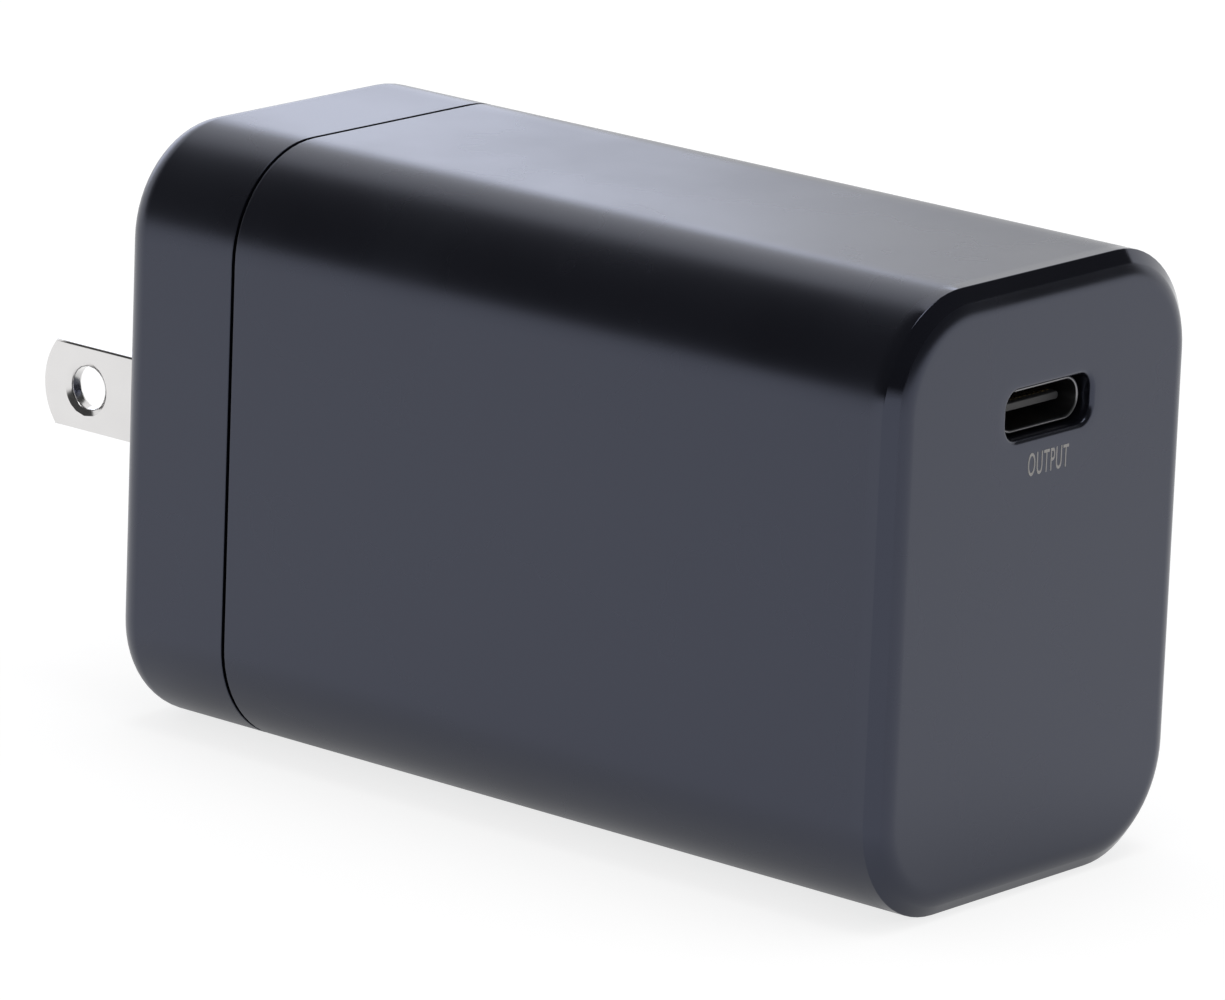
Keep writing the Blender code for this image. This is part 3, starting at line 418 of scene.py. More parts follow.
@dataclass(frozen=True)
class Finish:
    """A surface finish, made into a material when it is asked for."""

    name: str
    colour: Colour
    roughness: float
    metallic: float = 0.0
    shade: float = 0.12
    spread: float = 0.04
    grain: float = 9000.0
    patch: float = 90.0
    bump: float = 0.05
    bump_depth: float = 0.00001
    dust: float = 0.0
    coat: float = 0.0
    polish: float | None = None
    ior: float = 1.5
    # A tint other than white colours the reflections; on the shell plastic it paints the bluish studio light
    # into them.
    tint: Colour = (1.0, 1.0, 1.0)
    pattern: Pattern = Pattern.PLAIN
    pattern_axis: str = "Z"

    def material(self) -> bpy.types.Material:
        """The material of this finish, built the first time.

        Returns:
            A material whose Principled BSDF is fed by grain, patches, dust and a pattern.
        """
        made = bpy.data.materials.get(self.name)
        if made:
            return made
        made = bpy.data.materials.new(self.name)
        made.use_nodes = True
        sheet = NodeSheet(made.node_tree)
        shader = made.node_tree.nodes["Principled BSDF"]
        shader.inputs["Metallic"].default_value = self.metallic
        shader.inputs["Coat Weight"].default_value = self.coat
        shader.inputs["IOR"].default_value = self.ior
        shader.inputs["Specular Tint"].default_value = (*self.tint, 1.0)
        shader.inputs["Coat Roughness"].default_value = 0.12
        place = sheet.add("TexCoord").outputs["Object"]
        grain = sheet.add("Group", node_tree=grain_group())
        sheet.tree.links.new(place, grain.inputs["Position"])
        grain.inputs["Grain Scale"].default_value = self.grain
        grain.inputs["Patch Scale"].default_value = self.patch
        grain.inputs["Roughness"].default_value = self.roughness
        grain.inputs["Roughness Spread"].default_value = self.spread
        colour = self.base_colour(sheet, place, grain.outputs["Shade"])
        rough = self.final_roughness(sheet, grain.outputs["Roughness"])
        height = self.final_height(sheet, place, grain.outputs["Height"])
        bump = sheet.add("Bump", {"Strength": self.bump, "Distance": self.bump_depth, "Height": height})
        sheet.tree.links.new(colour, shader.inputs["Base Color"])
        sheet.tree.links.new(rough, shader.inputs["Roughness"])
        sheet.tree.links.new(bump.outputs[0], shader.inputs["Normal"])
        return made

    def base_colour(
        self, sheet: NodeSheet, place: bpy.types.NodeSocket, shade: bpy.types.NodeSocket
    ) -> bpy.types.NodeSocket:
        """The colour: a darker and a lighter patch, then the pattern and the dust."""
        dark = (*[c * (1 - self.shade) for c in self.colour], 1.0)
        light = (*[min(1.0, c * (1 + self.shade)) for c in self.colour], 1.0)
        colour = sheet.mix(sheet.ramp(shade, 0.35, 0.65, 0.0, 1.0), dark, light)
        if self.pattern is Pattern.TRACKS:
            tracks = sheet.add("TexVoronoi", {"Vector": place, "Scale": 420.0}, distance="MANHATTAN")
            mask = sheet.ramp(tracks.outputs["Distance"], 0.3, 0.34, 1.0, 0.0)
            colour = sheet.mix(mask, colour, (*[min(1.0, c * 2.2) for c in self.colour], 1.0))
        if self.dust:
            specks = sheet.add("Group", node_tree=dust_group())
            sheet.tree.links.new(place, specks.inputs["Position"])
            specks.inputs["Amount"].default_value = self.dust
            colour = sheet.mix(specks.outputs["Mask"], colour, (0.35, 0.36, 0.38, 1.0))
        return colour

    def final_roughness(self, sheet: NodeSheet, rough: bpy.types.NodeSocket) -> bpy.types.NodeSocket:
        """The roughness, brought down to the polish where the piece's polish attribute is 1."""
        if self.polish is None:
            return rough
        mask = sheet.add("Attribute", attribute_name="polish").outputs["Fac"]
        node = sheet.add("Mix", {0: mask, 2: rough, 3: self.polish}, data_type="FLOAT")
        return node.outputs[0]

    def final_height(
        self, sheet: NodeSheet, place: bpy.types.NodeSocket, height: bpy.types.NodeSocket
    ) -> bpy.types.NodeSocket:
        """The height: the grain, or the turns or drawn lines that the pattern adds to it."""
        if self.pattern is Pattern.TURNS:
            turns = sheet.add(
                "TexWave", {"Vector": place, "Scale": 420.0, "Distortion": 0.4},
                bands_direction=self.pattern_axis,
            )
            node = sheet.add("Mix", {0: 0.9, 2: height, 3: turns.outputs["Fac"]}, data_type="FLOAT")
            return node.outputs[0]
        if self.pattern is Pattern.BRUSHED:
            stretch = {"X": (30, 1, 30), "Y": (30, 1, 30), "Z": (30, 30, 1)}[self.pattern_axis]
            lines = sheet.add("Mapping", {"Vector": place, "Scale": stretch})
            noise = sheet.add("TexNoise", {"Vector": lines.outputs[0], "Scale": 260.0, "Detail": 4.0})
            node = sheet.add("Mix", {0: 0.7, 2: height, 3: noise.outputs["Fac"]}, data_type="FLOAT")
            return node.outputs[0]
        return height


# The shell's bluish specular tint is a painted reflection colour that stands in for the bluish studio light;
# the cover takes it too.
SHELL_PLASTIC = Finish(
    "shell_plastic", (0.006, 0.0062, 0.009), 0.27, spread=0.025, grain=7000.0, patch=60.0,
    bump=0.12, bump_depth=0.000012, dust=0.004, polish=0.08, ior=1.74, tint=(0.68, 0.74, 1.0),
)
COVER_PLASTIC = replace(SHELL_PLASTIC, name="cover_plastic", polish=None)
PLATED = Finish(
    "bright_plate", (0.72, 0.71, 0.705), 0.16, metallic=1.0, shade=0.03, spread=0.04, patch=220.0,
    bump=0.08, bump_depth=0.000006, pattern=Pattern.BRUSHED, pattern_axis="Y",
)
SOCKET_STEEL = Finish("socket_steel", (0.22, 0.22, 0.23), 0.3, metallic=1.0, bump=0.06)
SOCKET_BLACK = Finish("socket_black", (0.03, 0.03, 0.032), 0.42)
CONTACT_GOLD = Finish("contact_gold", (0.85, 0.62, 0.28), 0.2, metallic=1.0, grain=12000.0)
LABEL_INK = Finish("label_ink", (0.5, 0.485, 0.47), 0.5, shade=0.05, grain=14000.0)

SLOT_FINISHES = {
    "inner_black": Finish("inner_black_finish", (0.02, 0.02, 0.022), 0.5),
    "spring_steel": Finish("steel_finish", (0.56, 0.57, 0.58), 0.3, metallic=1.0, pattern=Pattern.BRUSHED),
    "brass": Finish("brass_finish", (0.8, 0.6, 0.3), 0.28, metallic=1.0, pattern=Pattern.BRUSHED),
    "board_green": Finish("board_finish", (0.02, 0.14, 0.06), 0.35, coat=0.4, pattern=Pattern.TRACKS),
    "ferrite": Finish("ferrite_finish", (0.05, 0.05, 0.055), 0.6, shade=0.2, grain=4000.0, bump=0.3),
    "copper": Finish(
        "winding_finish", (0.72, 0.32, 0.16), 0.3, metallic=1.0, bump=0.6, bump_depth=0.0001,
        pattern=Pattern.TURNS,
    ),
    "bobbin_white": Finish("bobbin_finish", (0.75, 0.73, 0.66), 0.5),
    "can_sleeve": Finish("sleeve_finish", (0.03, 0.03, 0.05), 0.3, coat=0.3),
    "can_aluminium": Finish("can_finish", (0.8, 0.8, 0.82), 0.28, metallic=1.0, pattern=Pattern.BRUSHED),
    "film_yellow": Finish("film_box_finish", (0.75, 0.5, 0.08), 0.35),
    "disc_blue": Finish("disc_finish", (0.05, 0.2, 0.5), 0.3, coat=0.3, patch=200.0),
    "fuse_brown": Finish("fuse_finish", (0.2, 0.08, 0.04), 0.38),
    "chip_black": Finish("chip_finish", (0.03, 0.03, 0.03), 0.5, grain=5000.0, bump=0.2),
    "aluminium": Finish("spreader_finish", (0.75, 0.76, 0.78), 0.35, metallic=1.0, pattern=Pattern.BRUSHED),
    "film_amber": Finish("amber_film_finish", (0.7, 0.35, 0.05), 0.2, coat=0.5),
    "pad_grey": Finish("pad_finish", (0.45, 0.47, 0.5), 0.8, shade=0.18, grain=3000.0, bump=0.4),
}


def dress(obj: bpy.types.Object, finish: Finish) -> None:
    """Gives an object one material, in place of any that it has."""
    obj.data.materials.clear()
    obj.data.materials.append(finish.material())


# ---------------------------------------------------------------------------
# The charger
# ---------------------------------------------------------------------------


@dataclass
class Shell:
    """The outer body: the housing with its bevelled front, and the cover that meets the wall."""

    width: float = 32.5 * MM
    height: float = 43.5 * MM
    length: float = 70.2 * MM
    edge_radius: float = 7.9 * MM
    middle_z: float = 1.0 * MM
    wall: float = 2.0 * MM
    front_wall: float = 2.2 * MM
    bevel_depth: float = 1.15 * MM
    bevel_inset: float = 1.38 * MM
    rear_round: float = 2.3 * MM
    cover_length: float = 10.6 * MM
    seam: float = 0.3 * MM
    lip_length: float = 2.8 * MM
    lip_inset: float = 1.1 * MM
    lip_gap: float = 0.3 * MM
    seam_edge: float = 0.06 * MM
    ink_height: float = 0.02 * MM
    port: Section = field(
        default_factory=lambda: Section(9.24 * MM, 3.46 * MM, 1.25 * MM, 0.35 * MM, 13.3 * MM)
    )
    port_round: float = 0.35 * MM
    rib_x: float = 5.75 * MM
    rib_width: float = 1.5 * MM
    rib_height: float = 2.15 * MM

    @property
    def section(self) -> Section:
        """The body's outline across its length."""
        return Section(self.width, self.height, self.edge_radius, 0.0, self.middle_z)

    @property
    def front_y(self) -> float:
        """The front face, which leaves the thickness of the ink inside the model's box."""
        return -self.length + self.ink_height

    @property
    def housing_rear(self) -> float:
        """The housing's rear rim."""
        return -self.cover_length - self.seam

    @property
    def rebate(self) -> float:
        """The forward end of the step in the housing that takes the cover's lip."""
        return -self.cover_length - self.lip_length - 0.5 * MM

    def body_rings(self, profile: np.ndarray) -> list[np.ndarray]:
        """Rings of the body's outline, each row of the profile being (inset, y)."""
        return [ring(self.section.grown(-inset).loop(), y) for inset, y in profile]

    def port_rings(self, profile: np.ndarray) -> list[np.ndarray]:
        """Rings of the socket opening's outline, each row of the profile being (grown by, y)."""
        return [ring(self.port.grown(grow).loop(), y) for grow, y in profile]

    def housing_mesh(self) -> tuple[bpy.types.Mesh, int, int]:
        """The housing as one ring-shaped surface.

        The profile runs from the rear rim along the outside, over the bevel, across the front
        face into the socket opening, through the wall, and back along the inside.

        Returns:
            The mesh, and the first and last ring of the bevel.
        """
        bevel_y = -self.length + self.bevel_depth
        front = self.front_y
        edge = self.seam_edge
        sides = np.linspace(self.housing_rear - 2 * edge, bevel_y + 1.2 * MM, 12)
        rear = fillet([(edge * 4, self.housing_rear, 0), (0, self.housing_rear, edge), (0, sides[0], 0)])
        along = np.stack([np.zeros(10), sides[1:-1]], axis=1)
        bevel = fillet(
            [
                (0, sides[-1], 0),
                (0, bevel_y, 0.10 * MM),
                (self.bevel_inset, front, 2.0 * MM),
                (self.bevel_inset + 1.2 * MM, front, 0),
            ],
            steps=10,
        )
        outside = self.body_rings(np.concatenate([rear, along, bevel]))
        start = len(rear) + len(along) + 1
        mouth = fillet(
            [
                (3 * self.port_round, front, 0),
                (0, front, self.port_round),
                (0, front + self.front_wall / 2, 0),
                (0, front + self.front_wall, 0),
            ],
            steps=8,
        )
        opening = self.port_rings(mouth)
        reach = np.linspace(0, 1, 6)[1:-1, None, None]
        across = list(outside[-1] * (1 - reach) + opening[0] * reach)
        wall_back = -self.length + self.front_wall
        opening[-1][:, 1] = wall_back
        inside = self.body_rings(
            np.array(
                [
                    (self.wall, wall_back),
                    (self.wall, self.rebate),
                    (self.lip_inset - self.lip_gap, self.rebate),
                    (self.lip_inset - self.lip_gap, self.housing_rear),
                ]
            )
        )
        rings = np.array(outside + across + opening + inside)
        return grid_mesh("housing_shell", rings, joined=True), start, start + POLISHED_RINGS

    def ribs(self) -> list[np.ndarray]:
        """The two ribs along the housing's floor that the circuit board lies on."""
        floor_z = self.middle_z - self.height / 2 + self.wall
        sunk = 0.5 * MM
        y = (-self.length + self.front_wall - sunk, self.rebate - self.lip_gap)
        grids = []
        for side in Side:
            x = side.value * self.rib_x
            low = (x - self.rib_width / 2, y[0], floor_z - sunk)
            grids.append(slab(low, (x + self.rib_width / 2, y[1], floor_z + self.rib_height)))
        return grids

    def housing(self) -> bpy.types.Object:
        """The housing, with its front bevel polished and the board's ribs inside.

        Returns:
            The finished piece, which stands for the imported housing.
        """
        mesh, first, last = self.housing_mesh()
        around = len(self.section.loop())
        row = np.arange(len(mesh.vertices)) // around
        polish = ((row >= first) & (row < last)).astype(np.float32)
        attribute = mesh.attributes.new("polish", "FLOAT", "POINT")
        attribute.data.foreach_set("value", polish)
        piece = add_piece("housing_shell", mesh)
        for grid in self.ribs():
            carve(piece, grid, "UNION")
        smooth(piece.data, 60)
        keep_flats(piece)
        dress(piece, SHELL_PLASTIC)
        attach(piece, Body.CHARGER.value)
        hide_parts("main_housing")
        return piece

    def cover(self, pivot: "FoldingProngs") -> bpy.types.Object:
        """The rear cover, with the prongs' slots, pockets and finger scoop.

        Args:
            pivot: The prongs, whose sizes the slots follow.

        Returns:
            The finished piece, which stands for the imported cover.
        """
        edge = self.seam_edge
        lip_end = -self.cover_length - self.lip_length
        profile = fillet(
            [
                (self.wall, -self.wall, 0),
                (self.wall, lip_end, 0.05 * MM),
                (self.lip_inset, lip_end, 0.05 * MM),
                (self.lip_inset, -self.cover_length, 0),
                (0, -self.cover_length, edge),
                (0, 0, self.rear_round),
                (self.rear_round + 0.8 * MM, 0, 0),
            ],
            steps=14,
        )
        rings = np.array(self.body_rings(profile))
        mesh = grid_mesh("cover_shell", rings, joined=False, capped=True)
        piece = add_piece("cover_shell", mesh)
        for grid in pivot.blocks(self):
            carve(piece, grid, "UNION")
        for grid in pivot.hollows(self):
            carve(piece, grid, "DIFFERENCE")
        smooth(piece.data, 32)
        keep_flats(piece)
        dress(piece, COVER_PLASTIC)
        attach(piece, Body.CHARGER.value)
        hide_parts("rear_cover")
        return piece


def keep_flats(obj: bpy.types.Object) -> None:
    """Weights the shading by face area, so that flat faces stay flat up to their rounded edges."""
    weighted = obj.modifiers.new("flat_faces", "WEIGHTED_NORMAL")
    weighted.keep_sharp = True
    weighted.weight = 50


@dataclass
class FoldingProngs:
    """The two flat prongs, and the room in the cover that they fold into."""

    spacing: float = 12.7 * MM
    width: float = 6.35 * MM
    thickness: float = 1.5 * MM
    length: float = 16.0 * MM
    tip_radius: float = 4.9 * MM
    hole_radius: float = 1.6 * MM
    hole_flare: float = 0.45 * MM
    flare_depth: float = 0.28 * MM
    hole_reach: float = 11.8 * MM
    tail_width: float = 3.0 * MM
    tail_length: float = 7.2 * MM
    folded_depth: float = 0.425 * MM
    key: float = 1.55 * MM
    slot_gap: float = 0.35 * MM
    pocket_wall: float = 1.0 * MM
    scoop_radius: float = 5.0 * MM
    scoop_depth: float = 2.1 * MM
    scoop_half_width: float = 9.5 * MM
    scoop_to_tip: float = 4.6 * MM
    block: tuple[float, float, float] = (13.05 * MM, 6.2 * MM, 6.2 * MM)
    chamber: tuple[float, float] = (2.4 * MM, 8.95 * MM)
    seat: tuple[float, float] = (1.6 * MM, 12.25 * MM)
    screw: tuple[float, float, float] = (11.0 * MM, -4.3 * MM, 1.15 * MM)

    @property
    def pivot_y(self) -> float:
        """Where the prongs turn."""
        return -(self.width / 2 + self.folded_depth)

    @property
    def reach(self) -> float:
        """From the pivot to a prong's tip."""
        return self.length - self.pivot_y

    @property
    def slot_half(self) -> float:
        """Half the width of a slot."""
        return self.thickness / 2 + self.slot_gap

    def blocks(self, shell: Shell) -> list[np.ndarray]:
        """The solids behind the wall face: bearing block, scoop backing and pocket walls.

        Args:
            shell: The body that they stand in.

        Returns:
            One grid for each solid.
        """
        rear = -shell.wall + 0.5 * MM
        top = shell.middle_z + shell.height / 2 - shell.wall
        half_width, depth, half_height = self.block
        scoop_z = self.reach + self.slot_gap - self.scoop_to_tip
        half, backing = self.scoop_radius + self.pocket_wall, self.scoop_half_width + self.pocket_wall
        grids = [
            slab((-half_width, -depth, -half_height), (half_width, rear, half_height)),
            slab(
                (-backing, -self.scoop_depth - 1.8 * MM, scoop_z - half),
                (backing, rear, min(scoop_z + half, top + 0.5 * MM)),
            ),
        ]
        floor = self.pivot_y - self.width / 2 - self.slot_gap - self.pocket_wall
        wide = self.slot_half + self.pocket_wall
        for side in Side:
            x = side.value * self.spacing / 2
            grids.append(slab((x - wide, floor, self.width / 2), (x + wide, rear, top + 0.25 * MM)))
        return grids

    def hollows(self, shell: Shell) -> list[np.ndarray]:
        """What is cut out of the cover: slots, tails' room, finger scoop, bearing and screw holes.

        Args:
            shell: The body that they are cut in.

        Returns:
            One grid for each hollow.
        """
        past = 1.0 * MM
        floor = self.pivot_y - self.width / 2 - self.slot_gap
        foot = -self.width / 2 - self.slot_gap
        back = -self.block[1] - past
        tail_rear = self.pivot_y + self.tail_width / 2 + self.slot_gap
        grids = []
        for side in Side:
            x = side.value * self.spacing / 2
            low, high = x - self.slot_half, x + self.slot_half
            grids.append(slab((low, floor, foot), (high, past, self.reach + self.slot_gap)))
            grids.append(slab((low, back, -self.block[2] - past), (high, tail_rear, 0)))
        scoop = (self.scoop_radius - self.scoop_depth, self.reach + self.slot_gap - self.scoop_to_tip)
        grids.append(drum(self.scoop_radius, -self.scoop_half_width, self.scoop_half_width, scoop, 96))
        for radius, reach in (self.chamber, self.seat):
            grids.append(drum(radius, -reach, reach, (self.pivot_y, 0.0)))
            grids.append(slab((-reach, back, -radius), (reach, self.pivot_y, radius)))
        grids.append(slab((-2.6 * MM, back, -5.5 * MM), (2.6 * MM, -5.5 * MM, self.chamber[0])))
        x, z, radius = self.screw
        hole = Section(2 * radius, 2 * radius, radius * 0.999, 0.0, z, arc_steps=6, side_steps=2)
        for side in Side:
            loop = replace(hole, x=side.value * x).loop()
            grids.append(np.stack([ring(loop, back), ring(loop, -shell.wall - 0.5 * MM)]))
        return grids

    def outline(self) -> np.ndarray:
        """A prong's edge as (y, z) about the pivot, anticlockwise from the lower tip corner.

        The tip is an arc, the root a circle about the pivot, and the tail a narrow tongue.

        Returns:
            An array of (y, z) rows.
        """
        half = self.width / 2
        bow = math.asin(half / self.tip_radius)
        shoulder = math.asin(self.tail_width / self.width)
        t = np.linspace(-bow, bow, 33)
        tip = self.arc(self.reach - self.tip_radius, self.tip_radius, t)
        straight = np.linspace(tip[-1, 0], 0, 14)[1:-1]
        top = np.stack([straight, np.full(12, half)], axis=1)
        root = self.arc(0.0, half, np.linspace(math.pi / 2, math.pi - shoulder, 13))
        edge = np.linspace(root[-1, 0], -self.tail_length, 6)[1:]
        tail = np.stack([edge, np.full(5, self.tail_width / 2)], axis=1)
        upper = np.concatenate([top, root, tail])
        lower = (upper * np.array([1, -1]))[::-1]
        return np.concatenate([tip, upper, lower])

    @staticmethod
    def arc(centre: float, radius: float, t: np.ndarray) -> np.ndarray:
        """Points on a circle centred on the prong's middle line: centre + radius * (cos t, sin t)."""
        return np.stack([centre + radius * np.cos(t), radius * np.sin(t)], axis=1)

    def prong_mesh(self, side: Side) -> bpy.types.Mesh:
        """A prong as one ring-shaped surface about its hole.

        Each point of the outline is joined to the hole by a straight ray from the hole's
        middle. The profile runs through the hole, out over its flare, across the face, over
        the eased edge and back the same way on the other face.

        Args:
            side: Which of the two prongs.

        Returns:
            The mesh, in place.
        """
        outline = self.outline()
        centre = np.array([self.hole_reach - self.pivot_y, 0.0])
        ahead, behind = np.roll(outline, -1, axis=0), np.roll(outline, 1, axis=0)
        tangent = ahead - behind
        normal = np.stack([tangent[:, 1], -tangent[:, 0]], axis=1)
        normal /= np.linalg.norm(normal, axis=1, keepdims=True)
        ray = outline - centre
        ray /= np.linalg.norm(ray, axis=1, keepdims=True)
        half, ease = self.thickness / 2, 0.16 * MM
        bore = fillet(
            [
                (self.hole_radius, 0, 0),
                (self.hole_radius, half - self.flare_depth, 0.3 * MM),
                (self.hole_radius + self.hole_flare, half, 0.08 * MM),
                (self.hole_radius + 2 * self.hole_flare, half, 0),
            ],
            steps=5,
        )[:-1]
        brim = fillet([(-2 * ease, half, 0), (0, half, ease), (0, 0, 0)], steps=4)[1:]
        inner = [(centre + ray * r, h) for r, h in bore]
        outer = [(outline + normal * out, h) for out, h in brim]
        face = inner + outer
        sheets = face + [(place, -h) for place, h in face[::-1]][1:-1]
        x = side.value * self.spacing / 2
        rings = np.array([np.insert(place, 0, x + h, axis=1) for place, h in sheets])
        rings[:, :, 1] += self.pivot_y
        return grid_mesh(f"{side.name.lower()}_prong_blade", rings, joined=True)

    def build(self) -> list[bpy.types.Object]:
        """Both prongs.

        Returns:
            The finished pieces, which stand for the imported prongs.
        """
        pieces = []
        for side in Side:
            word = side.name.lower()
            piece = add_piece(f"{word}_prong_blade", self.prong_mesh(side))
            x = side.value * self.spacing / 2
            key = slab(
                (x - self.thickness, self.pivot_y - self.key, -self.key),
                (x + self.thickness, self.pivot_y + self.key, self.key),
            )
            carve(piece, key, "DIFFERENCE")
            smooth(piece.data, 40)
            flatten_sides(piece.data)
            dress(piece, PLATED)
            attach(piece, Body.PRONGS.value)
            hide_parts(f"prong_{word}")
            pieces.append(piece)
        return pieces


@dataclass
class Socket:
    """The cable socket: steel shell, tongue, and the gold contacts on both its faces."""

    x: float = 0.35 * MM
    z: float = 13.3 * MM
    front_y: float = -69.2 * MM
    length: float = 8.3 * MM
    inner_width: float = 8.34 * MM
    inner_height: float = 2.56 * MM
    wall: float = 0.25 * MM
    tongue_width: float = 6.69 * MM
    tongue_height: float = 0.7 * MM
    tongue_round: float = 0.3 * MM
    tongue_recess: float = 0.9 * MM
    base_length: float = 3.1 * MM
    contacts: int = 12
    contact_pitch: float = 0.5 * MM
    contact_size: tuple[float, float, float] = (0.26 * MM, 3.2 * MM, 0.03 * MM)

    @property
    def bore(self) -> Section:
        """The shell's inner outline, with half-round ends."""
        radius = self.inner_height / 2 * 0.998
        return Section(self.inner_width, self.inner_height, radius, self.x, self.z)

    def shell(self) -> bpy.types.Object:
        """The steel shell as one ring-shaped surface with a rolled front rim.

        Returns:
            The finished piece.
        """
        back = self.front_y + self.length
        lip = self.wall / 2 * 0.98
        profile = fillet(
            [
                (0, back, 0),
                (0, self.front_y, lip),
                (self.wall, self.front_y, lip),
                (self.wall, back, 0),
            ],
            steps=6,
        )
        rings = np.array([ring(self.bore.grown(out).loop(), y) for out, y in profile])
        mesh = grid_mesh("socket_shell", rings, joined=True)
        smooth(mesh, 45)
        piece = add_piece("socket_shell", mesh)
        dress(piece, SOCKET_STEEL)
        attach(piece, Body.CHARGER.value)
        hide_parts("port_shell")
        return piece

    def tongue(self) -> bpy.types.Object:
        """The moulded tongue with its rounded front edge, and the base that it stands on.

        Returns:
            The finished piece.
        """
        back = self.front_y + self.length
        base_y = back - self.base_length
        tip_y = self.front_y + self.tongue_recess
        blade = Section(self.tongue_width, self.tongue_height, self.tongue_round, self.x, self.z)
        base = self.bore.grown(-0.15 * MM)
        nose = fillet([(-0.3 * MM, tip_y, 0), (0, tip_y, 0.25 * MM), (0, base_y, 0)], steps=6)
        clear = 0.04 * MM
        rings = [ring(blade.grown(min(out, 0) * 0.35 - clear).loop(), y) for out, y in nose]
        rings += [ring(base.loop(), y) for y in (base_y, back)]
        mesh = grid_mesh("socket_tongue", np.array(rings), joined=False, capped=True)
        smooth(mesh, 40)
        piece = add_piece("socket_tongue", mesh)
        dress(piece, SOCKET_BLACK)
        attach(piece, Body.CHARGER.value)
        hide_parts("port_tongue")
        return piece

    def contact_strips(self) -> bpy.types.Object:
        """The flat contacts on the tongue's two faces, as one piece of separate strips.

        Returns:
            The finished piece.
        """
        width, length, thick = self.contact_size
        start = self.front_y + self.tongue_recess + 0.5 * MM
        surface = self.tongue_height / 2 - 0.04 * MM
        bm = bmesh.new()
        for number in range(self.contacts):
            x = self.x + (number - (self.contacts - 1) / 2) * self.contact_pitch
            for up in (1, -1):
                z = self.z + up * surface
                low, high = sorted((z - up * thick, z + up * thick))
                grid = slab((x - width / 2, start, low), (x + width / 2, start + length, high))
                strip = grid_mesh("strip", grid, joined=False, capped=True)
                bm.from_mesh(strip)
                bpy.data.meshes.remove(strip)
        mesh = bpy.data.meshes.new("socket_contacts")
        bm.to_mesh(mesh)
        bm.free()
        piece = add_piece("socket_contacts", mesh)
        dress(piece, CONTACT_GOLD)
        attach(piece, Body.CHARGER.value)
        return piece


@dataclass
class PortLabel:
    """The plain word printed under the socket."""

    word: str = "OUTPUT"
    x: float = 0.45 * MM
    foot_z: float = 8.85 * MM
    height: float = 1.6 * MM
    width: float = 4.4 * MM
    surface_y: float = -70.18 * MM
    ink: float = 0.015 * MM

    def build(self) -> bpy.types.Object:
        """The word as thin raised ink on the front face.

        Returns:
            The finished piece.
        """
        text = bpy.data.curves.new("port_word", "FONT")
        text.body = self.word
        text.align_x = "CENTER"
        text.resolution_u = 8
        text.space_character = 1.12
        text.extrude = 0.5
        text.offset = 0.002
        holder = bpy.data.objects.new("port_word", text)
        bpy.context.scene.collection.objects.link(holder)
        graph = bpy.context.evaluated_depsgraph_get()
        mesh = bpy.data.meshes.new_from_object(holder.evaluated_get(graph))
        bpy.data.objects.remove(holder)
        bpy.data.curves.remove(text)
        points = np.empty(len(mesh.vertices) * 3)
        mesh.vertices.foreach_get("co", points)
        points = points.reshape(-1, 3)
        low, high = points.min(axis=0), points.max(axis=0)
        share = (points - (low + high) / 2) / (high - low)
        placed = np.stack(
            [
                self.x + share[:, 0] * self.width,
                self.surface_y - self.ink / 2 - share[:, 2] * self.ink,
                self.foot_z + (share[:, 1] + 0.5) * self.height,
            ],
            axis=1,
        )
        mesh.vertices.foreach_set("co", placed.ravel())
        bm = bmesh.new()
        bm.from_mesh(mesh)
        bmesh.ops.remove_doubles(bm, verts=bm.verts, dist=1e-7)
        bmesh.ops.dissolve_degenerate(bm, dist=5e-7, edges=bm.edges)
        bm.to_mesh(mesh)
        bm.free()
        face_outwards(mesh)
        piece = add_piece("port_word", mesh)
        dress(piece, LABEL_INK)
        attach(piece, Body.CHARGER.value)
        return piece


class Internals:
    """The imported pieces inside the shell, which keep their shape and get a procedural finish."""

    def build(self) -> None:
        """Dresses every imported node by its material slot."""
        slots = {part["node"]: part["material_slot"] for part in frame["record"]["subparts"]}
        for name, node in frame["nodes"].items():
            finish = SLOT_FINISHES.get(slots[name])
            if finish:
                dress(node, finish)


# ---------------------------------------------------------------------------
# The studio
# ---------------------------------------------------------------------------


